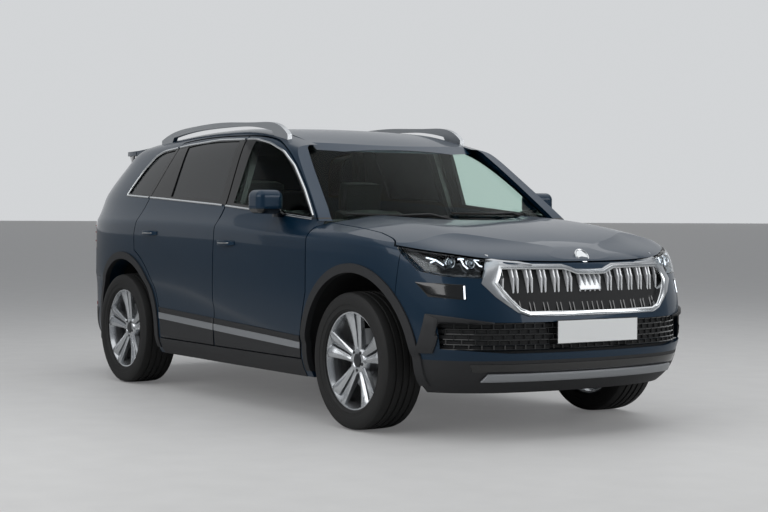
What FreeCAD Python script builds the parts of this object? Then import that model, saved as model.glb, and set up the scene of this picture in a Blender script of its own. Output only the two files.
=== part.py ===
"""A five-door sport utility vehicle as an assembly of separate pieces.

+X is forward, +Y is the vehicle's left, +Z is up. The origin is on the ground, under the middle of the
vehicle. Lengths are millimetres. The body is described at nominal stations, which px, py and pz map to the
lengths, widths and heights in the spreadsheet.
"""
import FreeCAD, Part
import Sketcher
import os

V = FreeCAD.Vector
X_AXIS, Y_AXIS, Z_AXIS = V(1, 0, 0), V(0, 1, 0), V(0, 0, 1)

DRIVING = {
    "overall_length": 4697, "overall_width": 1882, "overall_height": 1681,
    "wheelbase": 2791, "front_overhang": 905, "track": 1586,
    "tyre_radius": 359, "tyre_width": 235, "rim_radius": 258, "rim_width": 200,
    "arch_radius": 458, "arch_lip": 42, "arch_proud": 9,
    "panel_gap": 8, "pillar_gap": 14, "door_depth": 55, "frame_depth": 34,
    "ring_start": 82, "ring_end": 128, "aperture_lap": 34,
    "skin": 22, "bumper_wall": 30, "roof_wall": 30, "glass": 5,
    "hub_radius": 70, "disc_radius": 165, "disc_width": 26,
    "rail_width": 30,
    "steering_wheel_radius": 185, "floor_height": 300, "floor_wall": 40,
}

doc = FreeCAD.newDocument("suv")
sheet = doc.addObject("Spreadsheet::Sheet", "Dimensions")
for row, (alias, value) in enumerate(DRIVING.items(), 1):
    sheet.set(f"A{row}", alias)
    sheet.set(f"B{row}", str(value))
    sheet.setAlias(f"B{row}", alias)
doc.recompute()


def dim(alias):
    """A driving dimension, in millimetres."""
    return float(sheet.get(alias))


# ------------------------------------------------------------------ nominal stations to real sizes
FRONT = dim("overall_length") / 2
REAR = -FRONT
FRONT_AXLE = FRONT - dim("front_overhang")
REAR_AXLE = FRONT_AXLE - dim("wheelbase")
HALF_WIDTH = dim("overall_width") / 2
NOMINAL_X = (-2348.5, -1347.5, 1443.5, 2348.5)
REAL_X = (REAR, REAR_AXLE, FRONT_AXLE, FRONT)
NOMINAL_HALF_WIDTH = 941.0
NOMINAL_WAIST, NOMINAL_TOP = 830.0, 1681.0
REAL_TOP = dim("overall_height")


def px(x):
    """Real place along the vehicle of a nominal station: ends and axles stay where the sheet puts them."""
    for k in range(3):
        if x <= NOMINAL_X[k + 1] or k == 2:
            share = (x - NOMINAL_X[k]) / (NOMINAL_X[k + 1] - NOMINAL_X[k])
            return REAL_X[k] + share * (REAL_X[k + 1] - REAL_X[k])


def py(y):
    return y * HALF_WIDTH / NOMINAL_HALF_WIDTH


def pz(z):
    """Heights above the waist stretch with the overall height; the wheels and arches below it don't."""
    if z <= NOMINAL_WAIST:
        return z
    return NOMINAL_WAIST + (z - NOMINAL_WAIST) * (REAL_TOP - NOMINAL_WAIST) / (NOMINAL_TOP - NOMINAL_WAIST)


def smooth(points):
    """A curve through (x, value) points that doesn't overshoot them."""
    xs, vs = zip(*points)
    steps = [(vs[i + 1] - vs[i]) / (xs[i + 1] - xs[i]) for i in range(len(xs) - 1)]
    slopes = [steps[0]]
    for a, b in zip(steps, steps[1:]):
        slopes.append(0.0 if a * b <= 0 else 2 * a * b / (a + b))
    slopes.append(steps[-1])

    def value(x):
        x = min(max(x, xs[0]), xs[-1])
        i = max(k for k in range(len(xs) - 1) if xs[k] <= x or k == 0)
        w = xs[i + 1] - xs[i]
        s = (x - xs[i]) / w
        return (vs[i] * (1 + 2 * s) * (1 - s) ** 2 + vs[i + 1] * s * s * (3 - 2 * s)
                + w * slopes[i] * s * (1 - s) ** 2 + w * slopes[i + 1] * s * s * (s - 1))

    return value


def ease(s):
    s = min(max(s, 0.0), 1.0)
    return s * s * (3 - 2 * s)


# Feature lines along the body, at nominal stations.
lower_crease = smooth([(-2348, 660), (-1800, 680), (-900, 675), (-400, 640), (0, 575), (1000, 440), (1500, 430), (2348, 450)])
shoulder = smooth([(-2348, 1066), (-1500, 1072), (-870, 1068), (0, 1045), (700, 1008), (1090, 992), (1440, 981),
                   (1765, 960), (1860, 948), (2050, 915), (2170, 888), (2270, 872), (2348, 866)])
belt = smooth([(-2348, 1200), (-2000, 1228), (-1400, 1222), (-700, 1198), (-100, 1164), (500, 1126), (1000, 1084), (1300, 1064)])
cant = smooth([(-2348, 1492), (-2000, 1490), (-1700, 1507), (-1200, 1541), (-600, 1574), (-100, 1574), (240, 1548),
               (500, 1495), (800, 1440), (1300, 1385)])
roof_lift = smooth([(-2348, 1.0), (-200, 1.0), (500, 0.4), (1300, 0.3)])

# The widest outline in plan, from the middle of the rear round the side to the middle of the front.
REAR_PLAN = [(-2348.5, 0), (-2348.5, 150), (-2344, 330), (-2325, 480), (-2285, 610), (-2205, 710), (-2090, 782),
             (-1950, 840), (-1780, 886), (-1580, 914), (-1347, 926), (-1100, 930), (-850, 931)]
SIDE_PLAN = [(-600, 932), (-350, 934), (-100, 936), (150, 938), (400, 938), (650, 938), (850, 937)]
NOSE_PLAN = [(1046, 935), (1250, 931), (1443, 925), (1620, 915), (1780, 899), (1900, 878), (2010, 842), (2100, 792),
             (2180, 722), (2245, 628), (2290, 510), (2320, 370), (2338, 230), (2347, 110), (2348.5, 0)]


def low_rows(x):
    """Rows of the body side up to just over the shoulder: height, inset, tuck at the rear, tuck at the front."""
    crease, line = lower_crease(x), shoulder(x)
    return [(236, 74, 70, 120), (285, 44, 30, 60), (345, 30, 6, 26), (405, 27, 0, 9),
            (crease - 18, 26, 0, 2), (crease + 8, 11, 4, 0), (crease + 60, 7, 14, 2),
            (crease * 0.5 + line * 0.5, 0, 34, 14), (line - 70, 1, 34, 58), (line - 16, 3, 33, 84),
            (line + 3, 8, 37, 94), (line + 24, 23, 44, 108)]


def cabin_rows(x):
    """Rows over the belt line, the side glass and the cant rail, up to the roof."""
    waist, top, line, lift = belt(x), cant(x), shoulder(x), roof_lift(x)
    return low_rows(x) + [
        (line * 0.45 + waist * 0.55, 52, 52, 0), (waist - 12, 72, 60, 0), (waist + 6, 80, 68, 0),
        (waist + 45, 98, 88, 0), (waist * 0.5 + top * 0.5, 152, 140, 0), (top - 60, 203, 190, 0),
        (top, 240, 230, 0), (top + 34 * lift, 280, 268, 0), (top + 54 * lift, 332, 330, 0),
        (top + 62 * lift, 392, 400, 0)]


def nose_rows(x):
    """Rows that roll over the top of the wings and the nose towards the bonnet."""
    line = shoulder(x)
    return low_rows(x) + [(line + 52, 62, 0, 146), (line + 84, 130, 0, 215),
                          (line + 130, 220, 0, 310), (line + 220, 330, 0, 420)]


def station_points(x, y, rows, depth):
    """Control points up the body at one station of the plan, moved inwards by depth."""
    at_front, at_rear = ease((x - 1500) / 750), ease((-1450 - x) / 700)
    points = []
    for z, inset, rear_tuck, front_tuck in rows(x):
        along = x - front_tuck * at_front + rear_tuck * at_rear
        out = y * (1 - inset / NOMINAL_HALF_WIDTH)
        sink = depth(z) if callable(depth) else depth
        real_x, real_y = px(along), py(out)
        real_x += sink * (at_rear - at_front)
        real_y *= 1 - sink / HALF_WIDTH
        points.append(V(real_x, real_y, pz(z)))
    return points


def knots(count):
    return [4] + [1] * (count - 4) + [4], [float(i) for i in range(count - 2)]


def net_surface(net):
    """A cubic surface drawn by a net of control points."""
    surface = Part.BSplineSurface()
    u_mults, u_knots = knots(len(net))
    v_mults, v_knots = knots(len(net[0]))
    surface.buildFromPolesMultsKnots(net, u_mults, v_mults, u_knots, v_knots, False, False, 3, 3)
    return surface


def border(surface):
    u0, u1, v0, v1 = surface.bounds()
    return [surface.uIso(u0).toShape(), surface.uIso(u1).toShape(), surface.vIso(v0).toShape(), surface.vIso(v1).toShape()]


def closed_solid(faces):
    shell = Part.Shell(faces)
    shell.sewShape()
    solid = Part.Solid(Part.Shell(shell.Faces))
    if solid.Volume < 0:
        solid.reverse()
    return solid


def wall_between(outer_net, inner_net):
    """The closed wall between two nets of the same layout."""
    outer, inner = net_surface(outer_net), net_surface(inner_net)
    faces = [outer.toShape(), inner.toShape()]
    for a, b in zip(border(outer), border(inner)):
        faces.append(Part.makeRuledSurface(a, b))
    return closed_solid(faces)


def wrap_net(plan, rows, depth=0):
    return [station_points(x, y, rows, depth) for x, y in plan]


CABIN_PLAN = REAR_PLAN + SIDE_PLAN + [(1046, 935), (1250, 931), (1380, 928)]
WING_PLAN = [(650, 938), (850, 937)] + NOSE_PLAN


def cabin_wall(near, far):
    """The left wall of the cabin and rear between two depths under the skin."""
    return wall_between(wrap_net(CABIN_PLAN, cabin_rows, near), wrap_net(CABIN_PLAN, cabin_rows, far))


def nose_wall(near, far):
    return wall_between(wrap_net(WING_PLAN, nose_rows, near), wrap_net(WING_PLAN, nose_rows, far))


# ------------------------------------------------------------------ outlines that cut the panels
ARC_STEPS = 8


def arc_points(start, middle, end):
    """Points along the arc through three points of a plane, without the first."""
    arc = Part.Arc(V(*start, 0), V(*middle, 0), V(*end, 0)).toShape()
    return [(p.x, p.y) for p in arc.discretize(ARC_STEPS + 1)[1:]]


def flat_chain(points, place):
    """The outline as single points at real sizes, each with the kind of line that arrives at it."""
    chain = []
    for p in points:
        if p[0] == "curve":
            chain += [(place(q), True) for q in p[1]]
        elif p[0] == "arc":
            chain += [(q, True) for q in arc_points(chain[-1][0], place(p[1]), place(p[2]))]
        else:
            chain.append((place(p), False))
    return chain


def grown(corners, amount):
    """A polygon's corners moved outwards by a clearance, along their mitres."""
    area = sum(a[0] * b[1] - b[0] * a[1] for a, b in zip(corners, corners[1:] + corners[:1]))
    side = 1 if area > 0 else -1
    moved = []
    for i, here in enumerate(corners):
        before, after = corners[i - 1], corners[(i + 1) % len(corners)]
        first = V(here[0] - before[0], here[1] - before[1], 0).normalize()
        second = V(after[0] - here[0], after[1] - here[1], 0).normalize()
        out1, out2 = V(first.y, -first.x, 0) * side, V(second.y, -second.x, 0) * side
        reach = amount / max(1 + out1.dot(out2), 0.3)
        moved.append((here[0] + (out1.x + out2.x) * reach, here[1] + (out1.y + out2.y) * reach))
    return moved


def outline(points, place, lift, grow=0):
    """A closed wire through the outline's points, grown all round by a clearance."""
    chain = flat_chain(points, place)
    corners = [c for c, _ in chain]
    if grow:
        corners = grown(corners, grow)
    edges, span = [], [corners[0]]
    for i in range(1, len(corners)):
        span.append(corners[i])
        if i + 1 < len(corners) and chain[i][1] and chain[i + 1][1]:
            continue
        edges.append(line_or_curve([lift(*c) for c in span]))
        span = [corners[i]]
    edges.append(Part.makeLine(lift(*corners[-1]), lift(*corners[0])))
    return Part.Wire(edges)


def line_or_curve(points):
    if len(points) == 2:
        return Part.makeLine(*points)
    curve = Part.BSplineCurve()
    curve.interpolate(points)
    return curve.toShape()


def side_prism(points, y0=300, y1=1100, grow=0):
    """A cutter through the left side, from an outline of nominal (x, z) points."""
    wire = outline(points, lambda p: (px(p[0]), pz(p[1])), lambda u, v: V(u, y0, v), grow)
    return Part.Face(wire).extrude(V(0, y1 - y0, 0))


def plan_prism(points, z0=0, z1=2000, grow=0):
    """A cutter straight down, from an outline of nominal (x, y) points."""
    wire = outline(points, lambda p: (px(p[0]), py(p[1])), lambda u, v: V(u, v, z0), grow)
    return Part.Face(wire).extrude(V(0, 0, z1 - z0))


def front_prism(points, x0, x1, grow=0):
    """A cutter along the vehicle, from an outline of nominal (y, z) points."""
    wire = outline(points, lambda p: (py(p[0]), pz(p[1])), lambda u, v: V(x0, u, v), grow)
    return Part.Face(wire).extrude(V(x1 - x0, 0, 0))


def block(x0, x1, y0, y1, z0, z1):
    return Part.makeBox(x1 - x0, y1 - y0, z1 - z0, V(x0, y0, z0))


def mirrored(shape):
    """The right-hand twin of a left-hand piece."""
    return shape.mirror(V(0, 0, 0), Y_AXIS)


def both(shape):
    """A piece that runs across the middle, from its left half."""
    return shape.fuse(mirrored(shape)).removeSplitter()


def solids_only(shape):
    """The shape's solids as one compound, or the solid itself."""
    found = [s for s in shape.Solids if s.Volume > 1000]
    return found[0] if len(found) == 1 else Part.makeCompound(found)


PIECES = {}


def piece(name, shape):
    """One sub-part of the document with a shape of its own."""
    found = doc.addObject("Part::Feature", name)
    found.Label = name
    found.Shape = solids_only(shape)
    PIECES[name] = found
    return found


# ------------------------------------------------------------------ windscreen plane
screen_line = smooth([(1000, 1262), (1100, 1140), (1200, 996), (1300, 850), (1400, 702), (1500, 553), (1600, 405),
                      (1800, 110)])
screen_bow = smooth([(1000, 0.35), (1100, 0.32), (1500, 0.168), (1600, 0.14)])
SCREEN_LEVELS = (100, 500, 900, 1000, 1100, 1200, 1300, 1400, 1500, 1600, 1700, 1800)
SCREEN_BOW = ((0, 0), (200, 40), (350, 122), (500, 250), (600, 345), (680, 405), (740, 430), (800, 440), (1000, 440))
SCREEN_SLOPE = V(0.56, 0, 0.83)


def screen_net(depth):
    """Control points of the windscreen, moved outwards by depth."""
    half = SCREEN_BOW[1:]
    columns = [(-y, b) for y, b in reversed(half)] + list(SCREEN_BOW)
    net = []
    for z in SCREEN_LEVELS:
        net.append([V(px(screen_line(z) - screen_bow(z) * b), py(y), pz(z)) + SCREEN_SLOPE * depth for y, b in columns])
    return net


def behind_screen(depth):
    """Everything behind the windscreen's plane."""
    front = screen_net(depth)
    return wall_between(front, [[V(REAR - 500, p.y, p.z) for p in row] for row in front])


WINDSCREEN = [(-640, 1040), (-775, 1084), (-768, 1112), ("curve", [(-722, 1240), (-676, 1370), (-622, 1496)]),
              (-600, 1512), ("curve", [(-300, 1520), (0, 1523), (300, 1520), (600, 1512)]), (622, 1496),
              ("curve", [(676, 1370), (722, 1240), (768, 1112)]), (775, 1084), (640, 1040)]


# ------------------------------------------------------------------ roof and bonnet skins
roof_crown = smooth([(-2250, 2), (-1950, 3), (-1500, 12), (-400, 14), (450, 13), (560, 0)])
ROOF_SHARES = (0, 0.15, 0.3, 0.5, 0.7, 0.85, 1.0)
ROOF_EDGE = [(-2190, 478), (-2100, 500), (-1950, 508), (-1750, 516), (-1500, 530), (-1200, 538), (-900, 542),
             (-600, 544), (-300, 545), (0, 546), (200, 547), (350, 547), (450, 547), (560, 547)]
ROOF_BACK, SPOILER_FRONT = -1984, -1996


def roof_net(drop, spread=0):
    """Control points of the roof, lowered by drop and widened by spread."""
    shares = [-k for k in reversed(ROOF_SHARES[1:])] + list(ROOF_SHARES)
    net = []
    for x, y_edge in ROOF_EDGE:
        edge = cant(x) + 62 * roof_lift(x)
        net.append([V(px(x), py((y_edge + spread) * k), pz(edge + roof_crown(x) * (1 - k * k)) - drop) for k in shares])
    return net


bonnet_height = smooth([(500, 1165), (900, 1135), (1100, 1118), (1300, 1107), (1500, 1090), (1700, 1066), (1850, 1040),
                        (2000, 1003), (2100, 967), (2200, 917), (2300, 850), (2400, 770)])
bonnet_crown = smooth([(0, 0), (300, -4), (480, -6), (560, -10), (640, -22), (760, -44), (880, -78), (1000, -120)])
BONNET_X = (560, 700, 850, 1000, 1150, 1300, 1450, 1600, 1750, 1880, 1990, 2080, 2160, 2240, 2320, 2400)
BONNET_Y = (0, 120, 240, 360, 450, 520, 560, 600, 650, 720, 800, 880, 1000)


def bonnet_net(drop):
    half = BONNET_Y[1:]
    columns = [-y for y in reversed(half)] + list(BONNET_Y)
    return [[V(px(x), py(y), pz(bonnet_height(x) + bonnet_crown(abs(y))) - drop) for y in columns] for x in BONNET_X]


def under_bonnet(drop):
    top = bonnet_net(drop)
    return wall_between(top, [[V(p.x, p.y, 100) for p in row] for row in top])


NOSE_BACK = 600


def inside_nose(depth):
    """Everything inside the wrap of the wings and the nose, across the full width."""
    half = wrap_net(WING_PLAN, nose_rows, depth)
    full = half + [[V(p.x, -p.y, p.z) for p in row] for row in reversed(half[:-1])]
    return wall_between(full, [[V(NOSE_BACK, p.y, p.z) for p in row] for row in full])


def nose_shell(depth):
    """The skin of the wings, the bonnet and the nose, down to a depth."""
    outside = inside_nose(0).common(under_bonnet(0))
    return outside.cut(inside_nose(depth).common(under_bonnet(depth)))


# ------------------------------------------------------------------ openings in the side
GAP = dim("panel_gap")
PILLAR_GAP = dim("pillar_gap")
LAP = dim("aperture_lap")
ARCH_SHIFT = 38
ARCH_Z = dim("tyre_radius") + 6
NOMINAL_ARCH_X = {"front": 1443.5 + ARCH_SHIFT, "rear": -1347.5 + ARCH_SHIFT}
FAR_Y = 1100


def arch_cutter(end, radius, y0=0, y1=FAR_Y):
    """The round cutter of a wheel arch, left open at the bottom."""
    x = px(NOMINAL_ARCH_X[end])
    cutter = Part.makeCylinder(radius, y1 - y0, V(x, y0, ARCH_Z), Y_AXIS)
    return cutter.fuse(block(x - radius, x + radius, y0, y1, 0, ARCH_Z))


DOOR_BOTTOM = 335
FRONT_DOOR = [(955, DOOR_BOTTOM), (966, 430), (1002, 560), (1044, 700), (1046, 800), (1046, 1082), (1003, 1120),
              ("curve", [(818, 1264), (616, 1404), (440, 1498), (250, 1556), (120, 1574), (-22, 1582)]),
              (2, 1060), (-52, DOOR_BOTTOM)]
REAR_DOOR = [(-52, DOOR_BOTTOM), (2, 1060), (-22, 1582), ("curve", [(-300, 1588), (-600, 1584), (-885, 1566)]),
             (-1040, 1215), (-1122, 985), (-1118, 880), ("arc", (-925, 745), (-782, DOOR_BOTTOM))]
FRONT_GLASS = [(975, 1104), ("curve", [(800, 1236), (600, 1378), (430, 1472), (250, 1524), (96, 1546)]),
               (84, 1180), (500, 1144)]
REAR_GLASS = [(-82, 1192), (-100, 1552), ("curve", [(-350, 1556), (-560, 1552), (-770, 1536)]), (-752, 1222),
              (-400, 1212)]
QUARTER_GLASS = [(-1066, 1236), (-942, 1523), (-1120, 1508), ("curve", [(-1200, 1480), (-1300, 1386), (-1392, 1262)]),
                 (-1370, 1246)]
SIDE_REGION = [(1120, 1080), (1070, 1130), (430, 1640), (430, 1700), (-2400, 1700), (-2400, 200), (1120, 200)]
SILL_END = 955
GATE_HALF, GATE_BOTTOM, GATE_TOP_X = 585, 700, -1850
GLASS_DEPTH = 9
PILLAR_PROUD = 30


def door_depth(z):
    """Thickness of a door: its full depth below the belt line, the frame's around the glass."""
    share = ease((z - 1060) / 110)
    return dim("door_depth") * (1 - share) + dim("frame_depth") * share


def build_doors():
    """The left doors with their windows cut, and their glass."""
    wall = cabin_wall(0, door_depth)
    half = PILLAR_GAP / 2
    slot = side_prism([(2 - half, 1085), (2 + half, 1085), (-22 + half, 1600), (-22 - half, 1600)])
    front = wall.common(side_prism(FRONT_DOOR, grow=-GAP / 2)).cut(side_prism(FRONT_GLASS)).cut(slot)
    rear = wall.common(side_prism(REAR_DOOR, grow=-GAP / 2)).cut(side_prism(REAR_GLASS)).cut(slot)
    piece("left_front_door", front)
    piece("left_rear_door", rear)
    pane = cabin_wall(GLASS_DEPTH, GLASS_DEPTH + dim("glass"))
    piece("left_front_door_glass", pane.common(side_prism(FRONT_GLASS)))
    piece("left_rear_door_glass", pane.common(side_prism(REAR_GLASS)))
    piece("left_quarter_glass", pane.common(side_prism(QUARTER_GLASS)))


def gate_cutter(clearance):
    """The space of the tailgate: straight sides, from its lower edge to the spoiler."""
    half = py(GATE_HALF) + clearance
    low = block(REAR - 100, px(GATE_TOP_X), 0, half, pz(GATE_BOTTOM) - clearance, 2000)
    return low.cut(block(px(SPOILER_FRONT) + clearance, 0, 0, FAR_Y, 1200, 2000))


def build_body_side():
    """The left body side: sill, pillars, cant rail and quarter, with the door apertures."""
    wall = cabin_wall(0, dim("ring_end"))
    ring = cabin_wall(dim("ring_start"), dim("ring_end"))
    doors = side_prism(FRONT_DOOR, grow=GAP / 2).fuse(side_prism(REAR_DOOR, grow=GAP / 2))
    apertures = side_prism(FRONT_DOOR, grow=-LAP).fuse(side_prism(REAR_DOOR, grow=-LAP))
    side = wall.cut(doors).fuse(ring.cut(apertures))
    side = side.common(side_prism(SIDE_REGION)).common(behind_screen(PILLAR_PROUD))
    screen = front_prism(WINDSCREEN, px(0), px(1300))
    side = side.cut(screen).cut(side_prism(QUARTER_GLASS)).cut(arch_cutter("rear", dim("arch_radius")))
    side = side.cut(block(px(SILL_END) + GAP / 2, 3000, 0, FAR_Y, 0, pz(1080)))
    side = side.cut(gate_cutter(GAP)).cut(wall_between(roof_net(-150), roof_net(dim("roof_wall"))))
    side = side.cut(block(REAR - 50, px(REAR_SEAM), 0, FAR_Y, 0, pz(REAR_BUMPER_TOP)))
    side = side.cut(block(REAR - 50, px(LAMP_FRONT), 0, FAR_Y, pz(LAMP_LOW), pz(LAMP_HIGH)))
    piece("left_body_side", side)


REAR_SEAM, REAR_BUMPER_TOP = -1790, 692
LAMP_FRONT, LAMP_LOW, LAMP_HIGH = -1905, 880, 1072


def build_rear():
    """The rear bumper, the tail lamps, the tailgate and its glass."""
    half_bumper = cabin_wall(0, dim("bumper_wall")).common(
        block(REAR - 50, px(REAR_SEAM) - GAP / 2, 0, FAR_Y, 0, pz(REAR_BUMPER_TOP) - GAP / 2))
    half_bumper = half_bumper.cut(arch_cutter("rear", dim("arch_radius")))
    piece("rear_bumper", both(half_bumper))
    lamp_space = block(REAR - 50, px(LAMP_FRONT), py(GATE_HALF) + GAP, FAR_Y, pz(LAMP_LOW), pz(LAMP_HIGH))
    lamp = cabin_wall(0, 60).common(lamp_space)
    piece("tail_lamps", Part.makeCompound([lamp, mirrored(lamp)]))
    wall = cabin_wall(0, GATE_WALL)
    gate = wall.common(gate_cutter(0)).cut(block(REAR - 50, 0, py(GATE_HALF), FAR_Y, 0, 2000))
    spoiler = wall_between(roof_net(0), roof_net(dim("roof_wall"))).common(
        block(REAR - 50, px(SPOILER_FRONT), 0, FAR_Y, 0, 2000))
    gate = gate.cut(wall_between(roof_net(-150), roof_net(dim("roof_wall") / 2))).fuse(spoiler)
    window = front_prism(REAR_GLASS_HALF, REAR - 50, px(-1900))
    piece("tailgate", both(gate.cut(window)))
    pane = cabin_wall(GLASS_DEPTH, GLASS_DEPTH + dim("glass")).common(window)
    piece("rear_glass", both(pane))


GATE_WALL = 46
REAR_GLASS_HALF = [(0, 1140), (470, 1140), (510, 1160), (455, 1440), (420, 1462), (0, 1466)]


def build_roof():
    slab = wall_between(roof_net(0), roof_net(dim("roof_wall")))
    slab = slab.common(block(px(ROOF_BACK), 2000, -FAR_Y, FAR_Y, 0, 2000)).common(behind_screen(0))
    piece("roof", slab)
    pane = wall_between(screen_net(0), screen_net(-dim("glass")))
    pane = pane.common(front_prism(WINDSCREEN, px(0), px(1300)))
    piece("windscreen", pane.cut(wall_between(roof_net(-150), roof_net(dim("roof_wall")))))


# ------------------------------------------------------------------ nose
BONNET_HALF = [(1215, 0), ("curve", [(1205, 300), (1168, 550), (1105, 720)]), (1085, 778), (1300, 790), (1600, 802),
               ("curve", [(1740, 830), (1815, 872), (1834, 915)]), (2420, 915), (2420, 0)]
LAMP_HALF = [(1829, 950), (1966, 840), (2080, 814), (2191, 806), (2420, 800), (2420, 1000), (1829, 1000)]
WING_REGION = [(955, DOOR_BOTTOM), (966, 430), (1002, 560), (1044, 700), (1046, 800), (1046, 1076), (1124, 1076),
               (1120, 1200), (1860, 1200), (1860, 930), (1835, 718), (1835, 200), (955, 200)]
BUMPER_SPLIT = 405
GRILLE_MOUTH = [(405, 630), ("curve", [(455, 650), (500, 700), (556, 785)]), (516, 866), (160, 862), (90, 836),
                (-90, 836), (-160, 862), (-516, 866), (-556, 785), ("curve", [(-500, 700), (-455, 650), (-405, 630)])]
LOWER_MOUTH = [(790, 462), (800, 590), (690, 594), (500, 592), (-500, 592), (-690, 594), (-800, 590), (-790, 462),
               (-500, 440), (500, 440)]
LAMP_INNER_Y = 512


def bonnet_edge(grow):
    """The space over the leading edge of the bonnet."""
    stations = (EDGE_START, 1700, 1765, 1834, 1900, 1975, 2050, 2110, 2170, 2220, 2270, 2348, 2420)
    edge = [(x, shoulder(x) + 10) for x in stations]
    points = [edge[0], ("curve", edge[1:]), (2420, 1300), (EDGE_START, 1300)]
    return side_prism(points, -FAR_Y, FAR_Y, grow)


EDGE_START = 1600


def bonnet_space(grow):
    """The space that the bonnet fills: inside its outline from above, and over its leading edge."""
    behind = block(0, px(EDGE_START) + abs(grow), -FAR_Y, FAR_Y, 0, 2000)
    return both(plan_prism(BONNET_HALF, grow=grow)).common(behind.fuse(bonnet_edge(grow)))


def build_nose():
    """The bonnet, the wings, the front bumper and the front lamps."""
    shell = nose_shell(dim("skin"))
    thick = nose_shell(dim("bumper_wall"))
    piece("bonnet", shell.common(bonnet_space(0)))
    hole = bonnet_space(GAP)
    lamp_space = side_prism(LAMP_HALF, py(LAMP_INNER_Y), FAR_Y)
    left = block(0, 3000, 0, FAR_Y, 0, 2000)
    wing = shell.common(left).common(side_prism(WING_REGION, 0, FAR_Y, grow=-GAP / 2)).cut(hole)
    wing = wing.cut(arch_cutter("front", dim("arch_radius"))).cut(side_prism(LAMP_HALF, 0, FAR_Y))
    piece("left_wing", wing)
    lamp = thick.common(lamp_space).cut(hole)
    piece("headlamps", Part.makeCompound([lamp, mirrored(lamp)]))
    bumper_side = side_prism(WING_REGION, -FAR_Y, FAR_Y)
    bumper = thick.common(block(px(1500), 3000, -FAR_Y, FAR_Y, 0, 2000)).cut(bumper_side).cut(hole)
    bumper = bumper.cut(both(side_prism(LAMP_HALF, py(LAMP_INNER_Y), FAR_Y)))
    bumper = bumper.cut(both(arch_cutter("front", dim("arch_radius"))))
    bumper = bumper.cut(front_prism(GRILLE_MOUTH, px(1900), 3000)).cut(front_prism(LOWER_MOUTH, px(1900), 3000))
    upper = bumper.cut(block(0, 3000, -FAR_Y, FAR_Y, 0, BUMPER_SPLIT))
    piece("front_bumper", upper)
    piece("front_bumper_lower", bumper.common(block(0, 3000, -FAR_Y, FAR_Y, 0, BUMPER_SPLIT)))
    deep = inside_nose(dim("bumper_wall")).cut(inside_nose(GRILLE_DEPTH))
    ahead = block(px(1900), 3000, -FAR_Y, FAR_Y, 0, 2000)
    deep = deep.common(ahead)
    slats = deep.common(front_prism(GRILLE_MOUTH, px(1900), 3000, grow=GRILLE_LAP))
    piece("grille", slats.cut(bonnet_edge(GAP)).cut(upper))
    piece("lower_grille", deep.common(front_prism(LOWER_MOUTH, px(1900), 3000, grow=GRILLE_LAP)))


GRILLE_DEPTH, GRILLE_LAP = 48, 14


def build_claddings():
    """Dark mouldings round the wheel arches: a band over the panel and a lip turned into the arch."""
    proud, lip = dim("arch_proud"), dim("arch_lip")
    radius = dim("arch_radius")
    bands = []
    for end, wall in (("rear", cabin_wall), ("front", nose_wall)):
        above = block(-3000, 3000, 0, FAR_Y, CLADDING_LOW, 2000)
        ring = arch_cutter(end, radius + lip).cut(arch_cutter(end, radius)).common(above)
        inner = arch_cutter(end, radius).cut(arch_cutter(end, radius - CLADDING_WALL)).common(above)
        band = wall(-proud, 0).common(ring).fuse(wall(-proud, CLADDING_TURN).common(inner))
        bands.append(band)
    piece("left_arch_claddings", Part.makeCompound(bands))


CLADDING_LOW, CLADDING_WALL, CLADDING_TURN = 270, 5, 26


# ------------------------------------------------------------------ sketches bound to the dimensions
def new_body(name):
    body = doc.addObject("PartDesign::Body", name)
    body.Label = name
    return body


def origin_plane(body, role):
    return next(f for f in body.Origin.OriginFeatures if f.Role == role)


def sketch(body, role, offset=0):
    """An empty sketch on one of the body's own planes."""
    found = body.newObject("Sketcher::SketchObject", body.Name + "Sketch")
    found.AttachmentSupport = [(origin_plane(body, role), "")]
    found.MapMode = "FlatFace"
    found.AttachmentOffset = FreeCAD.Placement(V(0, 0, offset), FreeCAD.Rotation())
    return found


def size(term):
    """The value of a corner's term: a number, or (alias, factor, offset) of a driving dimension."""
    if isinstance(term, tuple):
        alias, factor, offset = term
        return dim(alias) * factor + offset
    return term


def draw(found, corners):
    """A closed chain of lines, each corner held to the dimensions by its own constraints."""
    points = [V(size(u), size(v), 0) for u, v in corners]
    first = found.GeometryCount
    count = len(corners)
    for a, b in zip(points, points[1:] + points[:1]):
        found.addGeometry(Part.LineSegment(a, b), False)
    for i in range(count):
        found.addConstraint(Sketcher.Constraint("Coincident", first + i, 2, first + (i + 1) % count, 1))
    for i, corner in enumerate(corners):
        hold(found, first + i, "DistanceX", points[i].x, corner[0])
        hold(found, first + i, "DistanceY", points[i].y, corner[1])


def hold(found, edge, kind, value, term):
    """Keep the start of an edge at its distance from the origin."""
    index = found.addConstraint(Sketcher.Constraint(kind, -1, 1, edge, 1, value))
    if isinstance(term, tuple):
        alias, factor, offset = term
        found.setExpression(f"Constraints[{index}]", f"Dimensions.{alias} * {factor} + {offset}")


def draw_circle(found, u, v, radius):
    edge = found.addGeometry(Part.Circle(V(u, v, 0), Z_AXIS, size(radius)), False)
    found.addConstraint(Sketcher.Constraint("DistanceX", -1, 1, edge, 3, u))
    found.addConstraint(Sketcher.Constraint("DistanceY", -1, 1, edge, 3, v))
    index = found.addConstraint(Sketcher.Constraint("Radius", edge, size(radius)))
    if isinstance(radius, tuple):
        alias, factor, offset = radius
        found.setExpression(f"Constraints[{index}]", f"Dimensions.{alias} * {factor} + {offset}")


def pad(body, found, length, symmetric=False):
    feature = body.newObject("PartDesign::Pad", body.Name + "Pad")
    feature.Profile = found
    feature.Length = length
    feature.Midplane = symmetric
    return feature


def pocket(body, found, length, symmetric=True):
    feature = body.newObject("PartDesign::Pocket", body.Name + "Pocket")
    feature.Profile = found
    feature.Length = length
    feature.Midplane = symmetric
    return feature


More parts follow.
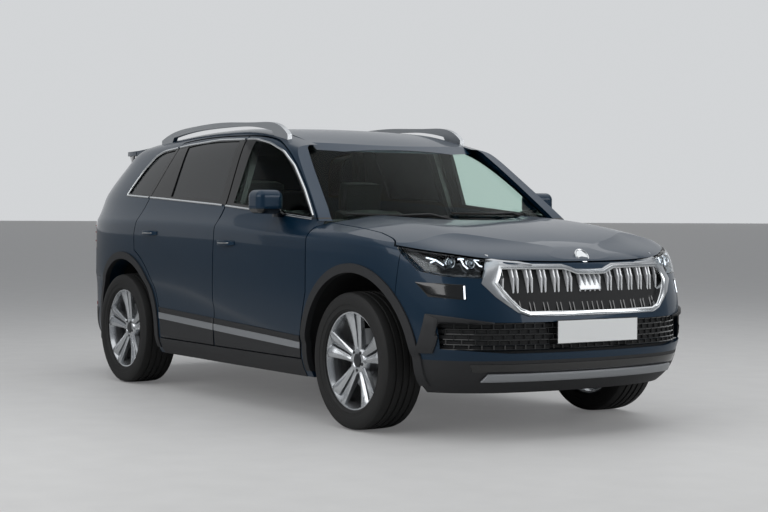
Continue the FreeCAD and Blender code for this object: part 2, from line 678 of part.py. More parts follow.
def revolve(body, found):
    """Turn a profile about the sketch's own horizontal axis."""
    feature = body.newObject("PartDesign::Revolution", body.Name + "Revolution")
    feature.Profile = found
    feature.ReferenceAxis = (found, ["H_Axis"])
    feature.Angle = 360
    return feature


def around(body, feature, count):
    """Repeat a feature about the axle, which is the body's Y axis."""
    pattern = body.newObject("PartDesign::PolarPattern", body.Name + "Pattern")
    pattern.Originals = [feature]
    pattern.Axis = (origin_plane(body, "Y_Axis"), [""])
    pattern.Angle = 360
    pattern.Occurrences = count
    body.Tip = pattern
    return pattern


# ------------------------------------------------------------------ wheels
WHEELS = [("left_front", "front", 1), ("right_front", "front", -1), ("left_rear", "rear", 1), ("right_rear", "rear", -1)]
AXLE_X = {"front": FRONT_AXLE, "rear": REAR_AXLE}
HUB_FACE = 30


def wheel_place(end, side):
    turn = FreeCAD.Rotation() if side > 0 else FreeCAD.Rotation(Z_AXIS, 180)
    return FreeCAD.Placement(V(AXLE_X[end], side * dim("track") / 2, dim("tyre_radius")), turn)


def build_tyre(name, end, side):
    body = new_body(name)
    w, r, b = "tyre_width", "tyre_radius", "rim_radius"
    corners = [((w, -0.43, 0), (b, 1, 0)), ((w, -0.5, 0), (b, 1, 32)), ((w, -0.5, 0), (r, 1, -42)),
               ((w, -0.46, 0), (r, 1, -14)), ((w, -0.36, 0), (r, 1, -2)), ((w, -0.2, 0), (r, 1, 0)),
               ((w, 0.2, 0), (r, 1, 0)), ((w, 0.36, 0), (r, 1, -2)), ((w, 0.46, 0), (r, 1, -14)),
               ((w, 0.5, 0), (r, 1, -42)), ((w, 0.5, 0), (b, 1, 32)), ((w, 0.43, 0), (b, 1, 0)),
               ((w, 0.36, 0), (b, 1, 0)), ((w, 0.36, 0), (r, 1, -20)), ((w, -0.36, 0), (r, 1, -20)),
               ((w, -0.36, 0), (b, 1, 0))]
    found = sketch(body, "YZ_Plane")
    draw(found, corners)
    revolve(body, found)
    body.Placement = wheel_place(end, side)


def build_rim(name, end, side):
    """Barrel, twin-spoked face and brake disc, which turn together."""
    body = new_body(name)
    w, b = "rim_width", "rim_radius"
    barrel = sketch(body, "YZ_Plane")
    draw(barrel, [((w, -0.46, 0), (b, 1, 0)), ((w, -0.46, 0), (b, 1, -14)), ((w, -0.36, 0), (b, 1, -22)),
                  ((w, 0.36, 0), (b, 1, -22)), ((w, 0.47, 0), (b, 1, -12)), ((w, 0.47, 0), (b, 1, 0)),
                  ((w, 0.38, 0), (b, 1, 0)), ((w, 0.34, 0), (b, 1, -10)), ((w, 0.3, 0), (b, 1, -17)),
                  ((w, -0.3, 0), (b, 1, -17)), ((w, -0.34, 0), (b, 1, -10)), ((w, -0.38, 0), (b, 1, 0))])
    revolve(body, barrel)
    face = sketch(body, "YZ_Plane")
    draw(face, [(HUB_FACE, 32), (HUB_FACE, ("hub_radius", 1, 8)), (48, 110), ((w, 0.34, 0), (b, 1, -40)),
                ((w, 0.34, 0), (b, 1, -17)), ((w, 0.44, 0), (b, 1, -14)), ((w, 0.41, 0), (b, 1, -34)), (72, 110),
                (62, 60), (60, 32)])
    revolve(body, face)
    disc = sketch(body, "YZ_Plane")
    draw(disc, [(32, 34), (32, 80), (("disc_width", 1, -32), 80), (("disc_width", 1, -32), ("disc_radius", 1, 0)),
                (-32, ("disc_radius", 1, 0)), (-32, 72), (24, 72), (24, 34)])
    revolve(body, disc)
    large = sketch(body, "XZ_Plane")
    draw(large, [(-26, 108), (26, 108), (62, ("rim_radius", 1, -52)), (56, ("rim_radius", 1, -38)),
                 (-56, ("rim_radius", 1, -38)), (-62, ("rim_radius", 1, -52))])
    cut = pocket(body, large, 400)
    body.Tip = cut
    around(body, cut, 5)
    body.Placement = wheel_place(end, side)


def build_knuckle(name, side):
    """Steered upright: stub axle, kingpin post and caliper."""
    body = new_body(name)
    base = sketch(body, "XZ_Plane", KNUCKLE_FACE)
    draw(base, [(-55, -95), (55, -95), (70, 0), (45, 150), (-45, 150), (-70, 0)])
    pad(body, base, 45)
    stub = sketch(body, "XZ_Plane", KNUCKLE_FACE - STUB)
    draw_circle(stub, 0, 0, 28)
    pad(body, stub, STUB + 10)
    caliper = sketch(body, "XZ_Plane", KNUCKLE_FACE - 6)
    draw(caliper, [(-60, -60), (-60, 60), (-205, 70), (-205, -70)])
    pad(body, caliper, 34)
    body.Placement = FreeCAD.Placement(V(FRONT_AXLE, side * dim("track") / 2, dim("tyre_radius")),
                                       FreeCAD.Rotation() if side > 0 else FreeCAD.Rotation(Z_AXIS, 180))


KNUCKLE_FACE, STUB = 50, 62


def build_steering_wheel():
    """A rim with three spokes on a boss, square to the column."""
    body = new_body("steering_wheel")
    ring = sketch(body, "YZ_Plane")
    draw_ring(ring, ("steering_wheel_radius", 1, 0), 15)
    revolve(body, ring)
    boss = sketch(body, "XZ_Plane", -12)
    draw_circle(boss, 0, 0, 62)
    pad(body, boss, 60)
    spokes = sketch(body, "XZ_Plane")
    reach = ("steering_wheel_radius", 1, -6)
    back = ("steering_wheel_radius", -1, 6)
    draw(spokes, [(reach, -20), (reach, 20), (back, 20), (back, -20), (-28, -20), (-28, back), (28, back), (28, -20)])
    pad(body, spokes, 18, symmetric=True)
    tilt = FreeCAD.Rotation(Y_AXIS, COLUMN_AXIS)
    body.Placement = FreeCAD.Placement(V(px(STEERING_X), py(DRIVER_Y), pz(STEERING_Z)), tilt)


STEERING_X, STEERING_Z, DRIVER_Y = 395, 905, -370
COLUMN_AXIS = V(-0.92, 0, 0.39).normalize()
COLUMN_START = 55


def draw_ring(found, distance, radius):
    """The small circle of a ring, at its distance from the axis."""
    edge = found.addGeometry(Part.Circle(V(0, size(distance), 0), Z_AXIS, radius), False)
    found.addConstraint(Sketcher.Constraint("PointOnObject", edge, 3, -2))
    hold_centre = found.addConstraint(Sketcher.Constraint("DistanceY", -1, 1, edge, 3, size(distance)))
    found.setExpression(f"Constraints[{hold_centre}]", f"Dimensions.{distance[0]} * {distance[1]} + {distance[2]}")
    found.addConstraint(Sketcher.Constraint("Radius", edge, radius))


# ------------------------------------------------------------------ seats and dashboard
def profile_body(name, corners, half_width, x, y, z=0):
    """A side profile padded across the vehicle, set at its place."""
    body = new_body(name)
    found = sketch(body, "XZ_Plane")
    draw(found, corners)
    pad(body, found, 2 * half_width, symmetric=True)
    body.Placement = FreeCAD.Placement(V(px(x), py(y), z), FreeCAD.Rotation())
    return body


FLOOR_TOP = ("floor_height", 1, 0)
FRONT_SEAT = [(-160, FLOOR_TOP), (220, FLOOR_TOP), (220, 430), (290, 470), (300, 560), (240, 585), (-180, 545),
              (-330, 1120), (-325, 1150), (-330, 1290), (-370, 1320), (-425, 1300), (-430, 1150), (-440, 1110), (-300, 500),
              (-240, 440), (-160, 430)]
REAR_SEAT = [(-200, FLOOR_TOP), (250, FLOOR_TOP), (260, 560), (210, 590), (-200, 560), (-340, 1150), (-350, 1270),
             (-430, 1270), (-450, 1150), (-310, 520), (-200, 480)]
DASHBOARD = [(0, 560), (0, 1030), (-90, 1040), (-290, 1010), (-400, 940), (-410, 860), (-330, 790), (-300, 560)]


def build_interior():
    for name, side in (("left_front_seat", 1), ("right_front_seat", -1)):
        profile_body(name, FRONT_SEAT, 255, -60, side * -DRIVER_Y)
    profile_body("rear_seat", REAR_SEAT, 535, -930, 0)
    dashboard = profile_body("dashboard", DASHBOARD, 700, FIREWALL_X, 0)
    build_steering_wheel()
    doc.recompute()
    start = V(px(STEERING_X), py(DRIVER_Y), pz(STEERING_Z)) - COLUMN_AXIS * COLUMN_START
    column = Part.makeCylinder(30, 300, start, COLUMN_AXIS * -1).cut(dashboard.Shape)
    piece("steering_column", min(column.Solids, key=lambda solid: solid.CenterOfMass.x))


# ------------------------------------------------------------------ structure under the skin
FIREWALL_X = 985
BAY_REAR, BAY_FRONT, BEAM_ROOM = -1425, -1150, 55
WALL = 15
PAN_REAR = -2210
LOAD_FLOOR = 560
REAR_HOUSE, FRONT_HOUSE = 462, 470
REAR_HOUSE_Y, FRONT_HOUSE_Y = 556, 466
HOUSE_WALL = 8
RAIL_IN, RAIL_OUT, RAIL_LOW, RAIL_HIGH = 380, 466, 430, 550


def shape_of(name):
    return PIECES[name].Shape


def wheel_house(end, radius, inner_y, low):
    """The liner over a wheel: a half drum with its inner wall."""
    outer = arch_cutter(end, radius + HOUSE_WALL, inner_y, FAR_Y)
    inner = arch_cutter(end, radius, inner_y + HOUSE_WALL, FAR_Y)
    return outer.cut(inner).common(block(-3000, 3000, 0, FAR_Y - 180, low, 2000))


def build_houses():
    top = dim("floor_height")
    rear = wheel_house("rear", REAR_HOUSE, REAR_HOUSE_Y, top)
    rear = rear.cut(shape_of("left_body_side")).cut(shape_of("rear_bumper")).cut(shape_of("left_rear_door"))
    rear = rear.cut(side_prism(REAR_DOOR, 0, FAR_Y, grow=GAP)).cut(shape_of("left_arch_claddings"))
    rear = rear.cut(block(REAR_AXLE - BEAM_ROOM, REAR_AXLE + BEAM_ROOM, 0, FAR_Y, 0, dim("tyre_radius") + BEAM_ROOM))
    front = wheel_house("front", FRONT_HOUSE, FRONT_HOUSE_Y, HOUSE_LOW)
    for name in ("left_wing", "front_bumper", "front_bumper_lower", "lower_grille", "left_arch_claddings"):
        front = front.cut(shape_of(name))
    front = front.cut(side_prism(FRONT_DOOR, 0, FAR_Y, grow=GAP))
    houses = [s for half in (rear, front) for s in (max(half.Solids, key=volume), mirrored(max(half.Solids, key=volume)))]
    piece("wheel_houses", Part.makeCompound(houses))


HOUSE_LOW = 295


def volume(solid):
    return solid.Volume


def build_floor():
    """The floor, the load floor on its upright panel, and the rear bumper's brackets."""
    top, wall = dim("floor_height"), dim("floor_wall")
    plan = [(PAN_REAR, -600), (-2000, -770), (-1790, -860), (FIREWALL_X, -870), (FIREWALL_X, 870), (-1790, 860),
            (-2000, 770), (PAN_REAR, 600)]
    pan = plan_prism(plan, top - wall, top)
    load = block(px(PAN_REAR), px(-1400), -py(REAR_HOUSE_Y), py(REAR_HOUSE_Y), LOAD_FLOOR, LOAD_FLOOR + WALL)
    panel = block(px(PAN_REAR), px(PAN_REAR) + 30, -py(REAR_HOUSE_Y), py(REAR_HOUSE_Y), top, LOAD_FLOOR + 80)
    step = block(px(BAY_REAR) - 30, px(BAY_REAR), -py(520), py(520), top, LOAD_FLOOR + WALL)
    brackets = block(REAR, px(PAN_REAR), -450, 450, 420, 520)
    bay_top = dim("tyre_radius") + BEAM_ROOM
    pan = pan.cut(block(px(BAY_REAR), px(BAY_FRONT), -FAR_Y, FAR_Y, 0, bay_top))
    cover = block(px(BAY_REAR) - 30, px(BAY_FRONT) + WALL, -py(520), py(520), bay_top, bay_top + WALL)
    riser = block(px(BAY_FRONT), px(BAY_FRONT) + WALL, -py(520), py(520), top - wall, bay_top + WALL)
    pan = pan.fuse(load).fuse(panel).fuse(step).fuse(brackets).fuse(cover).fuse(riser)
    for side in (1, -1):
        neighbours = [arch_cutter("rear", REAR_HOUSE + HOUSE_WALL, REAR_HOUSE_Y, FAR_Y)]
        neighbours += [shape_of(name) for name in ("left_body_side", "left_wing", "left_arch_claddings")]
        for shape in neighbours:
            pan = pan.cut(shape if side > 0 else mirrored(shape))
    pan = pan.cut(shape_of("rear_bumper")).cut(shape_of("wheel_houses"))
    piece("floor_pan", max(pan.Solids, key=volume))


def build_front_structure():
    """The bulkhead, the rails to the bumper beam, and the panel under the windscreen."""
    bulkhead = block(px(FIREWALL_X), px(FIREWALL_X) + WALL, -760, 760, dim("floor_height") - dim("floor_wall"), COWL_LOW)
    cowl = block(px(FIREWALL_X), px(1262), -745, 745, COWL_LOW, COWL_LOW + WALL)
    frame = bulkhead.fuse(cowl)
    for side in (1, -1):
        low, high = sorted((side * RAIL_IN, side * RAIL_OUT))
        frame = frame.fuse(block(px(FIREWALL_X), FRONT, low, high, RAIL_LOW, RAIL_HIGH))
    beam = block(px(2150), px(2200), -620, 620, RAIL_LOW, RAIL_HIGH)
    bridge = block(px(1990), px(2030), -660, 660, BRIDGE_LOW, BRIDGE_LOW + 40)
    posts = both(block(px(1990), px(2030), RAIL_IN, RAIL_OUT, RAIL_HIGH, BRIDGE_LOW))
    frame = frame.fuse(beam).fuse(bridge).fuse(posts)
    for name in ("wheel_houses", "left_body_side", "grille", "lower_grille", "front_bumper", "front_bumper_lower",
                 "headlamps", "left_wing", "windscreen"):
        shape = shape_of(name)
        frame = frame.cut(shape).cut(mirrored(shape)) if name.startswith("left") else frame.cut(shape)
    frame = frame.cut(block(px(2235), FRONT, -FAR_Y, FAR_Y, 0, 2000))
    piece("front_structure", max(frame.Solids, key=volume))


COWL_LOW, BRIDGE_LOW = 1025, 790


def build_running_gear():
    """The engine block, the front cradle with its arms, and the rear axle."""
    engine = new_body("engine")
    found = sketch(engine, "XY_Plane")
    draw(found, [(-290, -340), (290, -340), (290, 340), (-290, 340)])
    pad(engine, found, 560)
    engine.Placement = FreeCAD.Placement(V(px(1500), 0, CRADLE_TOP), FreeCAD.Rotation())
    cradle = new_body("front_cradle")
    found = sketch(cradle, "XY_Plane")
    start = px(FIREWALL_X) + WALL - FRONT_AXLE
    draw(found, [(start, -390), (-60, -390), (-60, -600), (40, -600), (60, -390), (330, -390), (330, 390), (60, 390),
                 (40, 600), (-60, 600), (-60, 390), (start, 390)])
    pad(cradle, found, CRADLE_TOP - CRADLE_LOW)
    cradle.Placement = FreeCAD.Placement(V(FRONT_AXLE, 0, CRADLE_LOW), FreeCAD.Rotation())
    axle = new_body("rear_axle")
    beam = sketch(axle, "XZ_Plane")
    draw(beam, [(-45, -45), (45, -45), (45, 45), (-45, 45)])
    pad(axle, beam, 2 * (dim("track") / 2 - KNUCKLE_FACE), symmetric=True)
    stub = sketch(axle, "XZ_Plane")
    draw_circle(stub, 0, 0, 28)
    pad(axle, stub, 2 * (dim("track") / 2 + 12), symmetric=True)
    arms = sketch(axle, "XY_Plane", ARM_LOW - dim("tyre_radius"))
    reach = px(BAY_FRONT) - REAR_AXLE
    draw(arms, [(-45, -500), (reach, -500), (reach, -400), (45, -400), (45, 400), (reach, 400), (reach, 500),
                (-45, 500)])
    pad(axle, arms, 40)
    axle.Placement = FreeCAD.Placement(V(REAR_AXLE, 0, dim("tyre_radius")), FreeCAD.Rotation())


CRADLE_LOW, CRADLE_TOP, ARM_LOW = 238, 275, 300


# ------------------------------------------------------------------ mirrors, rails and plates
RAIL_SIDE = [(345, 1540), (345, 1578), ("curve", [(262, 1630), (0, 1664), (-450, 1681), (-850, 1671), (-1150, 1642),
             (-1310, 1598)]), (-1310, 1540), (-1190, 1540), (-1130, 1612), ("curve", [(-850, 1640), (-450, 1650),
             (0, 1633), (165, 1606)]), (215, 1540)]
RAIL_Y = 606


def build_fittings():
    rail = side_prism(RAIL_SIDE, py(RAIL_Y), py(RAIL_Y) + dim("rail_width")).cut(cabin_wall(0, RAIL_BURY))
    rail = rail.cut(shape_of("left_body_side")).cut(shape_of("roof"))
    rail = max(rail.Solids, key=volume)
    piece("roof_rails", Part.makeCompound([rail, mirrored(rail)]))
    shell = Part.makeBox(150, 164, 132, V(px(590), py(880), pz(1118)))
    shell = shell.makeFillet(42, shell.Edges)
    stalk = block(px(640), px(700), py(820), py(905), pz(1100), pz(1136))
    mirror = shell.fuse(stalk).cut(cabin_wall(0, door_depth))
    piece("left_mirror", max(mirror.Solids, key=volume))


RAIL_BURY = 100


# ------------------------------------------------------------------ the whole vehicle
MIRRORED = ["front_door", "rear_door", "front_door_glass", "rear_door_glass", "quarter_glass", "body_side", "wing",
            "arch_claddings", "mirror"]


def build_all():
    for build in (build_doors, build_roof, build_body_side, build_rear, build_nose, build_claddings, build_houses,
                  build_floor, build_front_structure, build_fittings, build_interior, build_running_gear):
        build()
    for name, end, side in WHEELS:
        build_tyre(f"{name}_tyre", end, side)
        build_rim(f"{name}_rim", end, side)
    for name, side in (("left_front_knuckle", 1), ("right_front_knuckle", -1)):
        build_knuckle(name, side)
    for name in MIRRORED:
        piece(f"right_{name}", mirrored(shape_of(f"left_{name}")))


def check(nodes):
    """Stop on any object that failed, and on any empty or broken shape."""
    for found in doc.Objects:
        if "Invalid" in found.State or "Error" in found.State:
            raise RuntimeError(f"{found.Label}: {found.State}")
    for node in nodes:
        if node.Shape.isNull() or not node.Shape.isValid():
            raise RuntimeError(f"{node.Label}: shape isn't valid")


build_all()
doc.recompute()
nodes = list(PIECES.values()) + [found for found in doc.Objects if found.TypeId == "PartDesign::Body"]
check(nodes)
os.makedirs("parts", exist_ok=True)
for node in nodes:
    node.Shape.exportStep(f"parts/{node.Label}.step")
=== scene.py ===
# %% [markdown]
# # A family sport utility vehicle
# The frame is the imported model: every panel, window, wheel and seat at its real size. This lesson gives
# each one its finish and models the small pieces that the frame leaves out, such as trims, lamps, spokes
# and tread.

# %% Load the frame
import bpy
import bmesh
import math
from mathutils import Matrix, Vector


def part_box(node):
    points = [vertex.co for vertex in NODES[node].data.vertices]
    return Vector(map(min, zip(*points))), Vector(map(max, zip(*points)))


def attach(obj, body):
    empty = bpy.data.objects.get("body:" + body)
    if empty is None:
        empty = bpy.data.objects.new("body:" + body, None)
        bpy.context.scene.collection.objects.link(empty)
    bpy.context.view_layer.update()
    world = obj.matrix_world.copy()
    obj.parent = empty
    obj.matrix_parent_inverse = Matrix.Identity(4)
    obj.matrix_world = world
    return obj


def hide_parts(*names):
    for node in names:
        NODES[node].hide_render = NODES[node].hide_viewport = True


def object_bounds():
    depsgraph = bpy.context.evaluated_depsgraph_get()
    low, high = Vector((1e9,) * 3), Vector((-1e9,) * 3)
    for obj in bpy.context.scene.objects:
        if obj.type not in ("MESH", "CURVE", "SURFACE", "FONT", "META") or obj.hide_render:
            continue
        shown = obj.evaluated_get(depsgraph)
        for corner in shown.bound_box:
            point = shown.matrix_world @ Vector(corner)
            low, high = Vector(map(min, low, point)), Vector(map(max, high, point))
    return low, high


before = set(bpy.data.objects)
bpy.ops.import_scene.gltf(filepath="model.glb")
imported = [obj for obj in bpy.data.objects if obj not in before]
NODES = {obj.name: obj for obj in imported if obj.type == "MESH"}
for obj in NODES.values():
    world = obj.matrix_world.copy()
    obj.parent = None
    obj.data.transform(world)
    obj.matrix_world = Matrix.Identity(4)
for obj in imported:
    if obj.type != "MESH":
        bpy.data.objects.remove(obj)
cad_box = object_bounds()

SIDES = (("left", 1), ("right", -1))
print("nodes:", len(NODES))

# %% [markdown]
# ## Working helpers
# An operator acts on everything that is selected, so each step starts with nothing selected. These small
# helpers keep that habit, and hand a finished piece over to the body that it moves with.


# %% Selecting and finishing
def nothing_selected():
    if bpy.context.object and bpy.context.object.mode != "OBJECT":
        bpy.ops.object.mode_set(mode="OBJECT")
    bpy.ops.object.select_all(action="DESELECT")


def only(piece):
    nothing_selected()
    piece.select_set(True)
    bpy.context.view_layer.objects.active = piece


def settle(piece):
    """Puts the piece's place, turn and size into its mesh."""
    only(piece)
    bpy.ops.object.transform_apply(location=True, rotation=True, scale=True)


def smooth_by(piece, degrees=30):
    only(piece)
    bpy.ops.object.shade_smooth_by_angle(angle=math.radians(degrees))


def applied(piece, kind, **settings):
    """One modifier, set up and applied."""
    only(piece)
    modifier = piece.modifiers.new("Shaping", kind)
    for key, value in settings.items():
        setattr(modifier, key, value)
    bpy.ops.object.modifier_apply(modifier=modifier.name)


def bevelled(piece, width, segments=2):
    applied(piece, "BEVEL", width=width, segments=segments, limit_method="ANGLE")


def editing_all(piece):
    """Edit mode with everything selected."""
    only(piece)
    bpy.ops.object.mode_set(mode="EDIT")
    bpy.ops.mesh.select_all(action="SELECT")


def block(name, cuts):
    """A unit cube divided into a grid, ready to be pulled to shape."""
    bpy.ops.mesh.primitive_cube_add(size=1)
    piece = bpy.context.object
    piece.name = piece.data.name = name
    editing_all(piece)
    bpy.ops.mesh.subdivide(number_cuts=cuts)
    bpy.ops.object.mode_set(mode="OBJECT")
    return piece


def placed(name, data):
    """A new object for a mesh, a curve, a lamp or a camera, linked into the scene."""
    piece = bpy.data.objects.new(name, data)
    bpy.context.scene.collection.objects.link(piece)
    return piece


def from_points(name, points, faces, edges=()):
    """A piece whose mesh is given by its points and faces, or by its edges."""
    mesh = bpy.data.meshes.new(name)
    mesh.from_pydata(points, edges, faces)
    return placed(name, mesh)


def outwards(piece):
    editing_all(piece)
    bpy.ops.mesh.remove_doubles(threshold=0.00002)
    bpy.ops.mesh.normals_make_consistent(inside=False)
    bpy.ops.object.mode_set(mode="OBJECT")


def hand_over(piece, body, material):
    """Gives the piece its finish and the body that it moves with."""
    piece.data.materials.clear()
    piece.data.materials.append(material)
    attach(piece, body)
    return piece


def joined(name, pieces):
    nothing_selected()
    for piece in pieces:
        piece.select_set(True)
    bpy.context.view_layer.objects.active = pieces[0]
    if len(pieces) > 1:
        bpy.ops.object.join()
    pieces[0].name = pieces[0].data.name = name
    return pieces[0]


def own_copy(piece, name):
    """A copy that has a mesh of its own."""
    copy = piece.copy()
    copy.data = piece.data.copy()
    copy.name = copy.data.name = name
    bpy.context.scene.collection.objects.link(copy)
    return copy


def twin(piece, name):
    """The mirror-image copy on the other side of the vehicle."""
    copy = own_copy(piece, name)
    copy.data.transform(Matrix.Scale(-1, 4, (0, 1, 0)))
    copy.data.flip_normals()
    return copy


def hand_over_pair(left, body, material):
    """Hands over a left-hand piece and its twin on the right."""
    right = twin(left, left.name.replace("left", "right"))
    hand_over(left, body, material)
    hand_over(right, body.replace("left", "right"), material)


print("helpers ready")

# %% [markdown]
# ## Camera
# A long lens from the front right corner, at about chest height.

# %% Camera
CAMERA_AT = (8.455, -5.365, 1.121)
HEADING, TILT, ROLL = 146.32, -1.51, -0.21
LENS, SENSOR = 75.6, 36.0
camera_data = bpy.data.cameras.new("Camera")
camera_data.lens, camera_data.sensor_width = LENS, SENSOR
camera = placed("Camera", camera_data)
camera.location = CAMERA_AT
heading = Matrix.Rotation(math.radians(HEADING - 90), 4, "Z")
tilt = Matrix.Rotation(math.radians(90 + TILT), 4, "X")
roll = Matrix.Rotation(math.radians(-ROLL), 4, "Z")
camera.matrix_world = Matrix.Translation(CAMERA_AT) @ heading @ tilt @ roll
bpy.context.scene.camera = camera
print("camera at", CAMERA_AT, "heading", HEADING, "lens", LENS)

# %% [markdown]
# ## Finishes
# One helper adds a node with its settings and links. Colours are written as sRGB hex and turned to linear
# once.


# %% Colour and node helpers
def colour(code):
    parts = [int(code[i:i + 2], 16) / 255 for i in (1, 3, 5)]
    linear = [c / 12.92 if c <= 0.04045 else ((c + 0.055) / 1.055) ** 2.4 for c in parts]
    return (*linear, 1.0)


def add(material, kind, settings=None, **links):
    """One node: its settings, then its links as socket=(node, output), with _0 for the first socket."""
    node = material.node_tree.nodes.new(kind)
    for key, value in (settings or {}).items():
        if key in node.inputs:
            node.inputs[key].default_value = value
        else:
            setattr(node, key, value)
    for key, (source, output) in links.items():
        label = key.replace("_", " ")
        target = node.inputs[label if label in node.inputs else int(key[1:])]
        material.node_tree.links.new(source.outputs[output], target)
    return node


def shader_of(material):
    return material.node_tree.nodes["Principled BSDF"]


def new_material(name, base, metallic=0.0, roughness=0.5, **sockets):
    """A plain material; its colour is a hex code, and the other sockets are named with underscores."""
    material = bpy.data.materials.new(name)
    material.use_nodes = True
    shader = shader_of(material)
    shader.inputs["Base Color"].default_value = colour(base)
    shader.inputs["Metallic"].default_value = metallic
    shader.inputs["Roughness"].default_value = roughness
    for key, value in sockets.items():
        shader.inputs[key.replace("_", " ")].default_value = value
    return material


def patterned(material, size_mm, strength, dark=None, light=None, detail=3.0, rough=None):
    """Fine relief and uneven colour from one noise, with grains of about size_mm."""
    shader = shader_of(material)
    place = add(material, "ShaderNodeTexCoord")
    noise = add(material, "ShaderNodeTexNoise", {"Scale": 1000.0 / size_mm, "Detail": detail},
                Vector=(place, "Object"))
    bump = add(material, "ShaderNodeBump", {"Strength": strength, "Distance": 0.001}, Height=(noise, "Fac"))
    material.node_tree.links.new(bump.outputs["Normal"], shader.inputs["Normal"])
    if dark:
        ramp = add(material, "ShaderNodeMix", {"data_type": "RGBA"})
        material.node_tree.links.new(noise.outputs["Fac"], ramp.inputs[0])
        ramp.inputs[6].default_value = colour(dark)
        ramp.inputs[7].default_value = colour(light)
        material.node_tree.links.new(ramp.outputs[2], shader.inputs["Base Color"])
    if rough:
        span = add(material, "ShaderNodeMapRange", {"To Min": rough[0], "To Max": rough[1]},
                   Value=(noise, "Fac"))
        material.node_tree.links.new(span.outputs["Result"], shader.inputs["Roughness"])
    return material


print("middle grey in linear light:", round(colour("#808080")[0], 4))

# %% [markdown]
# Metallic paint is a dark blue base with tiny aluminium flakes under a clear lacquer. The lacquer gives the
# sharp reflections, and the flakes a soft brighter glow around the highlights.

# %% Paint
lacquer = new_material("Lacquered_metallic_paint", "#062233", 0.25, 0.36, Coat_Weight=0.6,
                       Coat_Roughness=0.03, Coat_IOR=1.35, Specular_IOR_Level=0.25)
paint = patterned(lacquer, 0.9, 0.015, "#041b2b", "#0a3049", 2.0)
print("paint:", paint.name)

# %% [markdown]
# The trims: grained polypropylene on the arches and sills, gloss-black ABS round the windows, and bright
# metal.

# %% Trims
grained = patterned(new_material("Grained_polypropylene", "#1b1c1e", 0.0, 0.55), 1.6, 0.25, "#17181a",
                    "#212225", 2.0, (0.48, 0.62))
gloss_black = patterned(new_material("Gloss_black_ABS", "#08090a", 0.0, 0.12, Coat_Weight=0.6,
                                     Coat_Roughness=0.05), 30, 0.004)
chrome = patterned(new_material("Bright_chromed_strip", "#d9dcde", 1.0, 0.12), 25, 0.004, None, None, 2.0,
                   (0.09, 0.16))
satin = patterned(new_material("Satin_anodised_aluminium", "#b9bcbf", 1.0, 0.32), 0.8, 0.02, None, None, 2.0,
                  (0.28, 0.38))
# The slats' near-white colour is a painted reflection, standing in for the bright mirror image in their chrome.
slat_painted_reflection = patterned(new_material("Bright_painted_slat", "#e4e6e8", 0.25, 0.28, Coat_Weight=0.6,
                                     Coat_Roughness=0.05), 2.0, 0.004)
silver_plastic = patterned(new_material("Silver_painted_ABS", "#9a9da1", 0.75, 0.38, Coat_Weight=0.3,
                                        Coat_Roughness=0.1), 0.8, 0.02)
underbody = patterned(new_material("Stone_chip_coating", "#121315", 0.0, 0.75), 4, 0.5, "#0e0f10", "#1b1c1e",
                      4.0)
cast = patterned(new_material("Sand_cast_iron", "#3b3a39", 0.7, 0.6), 1.5, 0.5, "#2d2c2b", "#4a4846", 4.0)
steel = patterned(new_material("Turned_steel_disc", "#8b8c8d", 1.0, 0.3), 1.2, 0.06, None, None, 2.0,
                  (0.24, 0.38))
machined = patterned(new_material("Diamond_cut_alloy", "#c4c7ca", 0.9, 0.25, Coat_Weight=0.5,
                                  Coat_Roughness=0.06), 0.9, 0.02, None, None, 2.0, (0.2, 0.3))
dark_alloy = patterned(new_material("Dark_painted_alloy", "#2a2c2f", 0.6, 0.4, Coat_Weight=0.4,
                                    Coat_Roughness=0.1), 0.9, 0.03)
rubber = patterned(new_material("Tyre_rubber", "#131313", 0.0, 0.72), 2.0, 0.18, "#101010", "#191919", 3.0,
                   (0.62, 0.82))
print("trims:", ", ".join(finish.name for finish in (grained, gloss_black, chrome, satin, rubber)))

# %% [markdown]
# Glass: laminated and faintly green in front, and dark privacy glass behind the middle pillar.

# %% Glass and lenses
clear_glass = patterned(new_material("Laminated_green_glass", "#dfeee8", 0.0, 0.02, Transmission_Weight=1.0,
                                     IOR=1.08), 400, 0.002)
privacy = patterned(new_material("Privacy_glass", "#15191c", 0.0, 0.03, Transmission_Weight=0.35, IOR=1.45),
                    400, 0.002)
lens = patterned(new_material("Clear_polycarbonate_lens", "#f2f6f8", 0.0, 0.02, Transmission_Weight=1.0,
                              IOR=1.12), 300, 0.002)
red_lens = patterned(new_material("Red_acrylic_lens", "#7d0d12", 0.0, 0.08, Coat_Weight=1.0,
                                  Coat_Roughness=0.03), 5, 0.05, "#5e070b", "#a3151b", 1.0)
light_guide = patterned(new_material("Lit_light_guide", "#f4f8ff", 0.0, 0.2, Emission_Strength=1.2,
                                     Emission_Color=colour("#eef5ff")), 3, 0.02)
bowl = patterned(new_material("Vacuum_metallised_bowl", "#8f969c", 1.0, 0.18), 6, 0.05)
print("glass:", ", ".join(finish.name for finish in (clear_glass, privacy, lens, red_lens)))

# %% [markdown]
# ## Cabin
# The seats are trimmed in a dark woven cloth, the steering wheel in leather and the rest in moulded
# plastic. Each grain is the real one made a little coarser, so that it still shows through the windows.

# %% Cabin finishes
cloth = patterned(new_material("Woven_seat_cloth", "#232426", 0.0, 0.9, Sheen_Weight=0.3), 1.8, 0.5,
                  "#1b1c1e", "#2f3134", 2.0)
leather = patterned(new_material("Perforated_leather", "#151515", 0.0, 0.5), 2.2, 0.35, "#121212", "#1d1d1d",
                    2.0)
moulded = patterned(new_material("Moulded_soft_plastic", "#1a1a1b", 0.0, 0.65), 1.5, 0.3, "#151516",
                    "#222224", 2.0)
plate_white = patterned(new_material("Reflective_white_acrylic", "#eceeee", 0.0, 0.3, Coat_Weight=0.4,
                                     Coat_Roughness=0.1), 2.0, 0.02)
print("cabin:", ", ".join(finish.name for finish in (cloth, leather, moulded)))

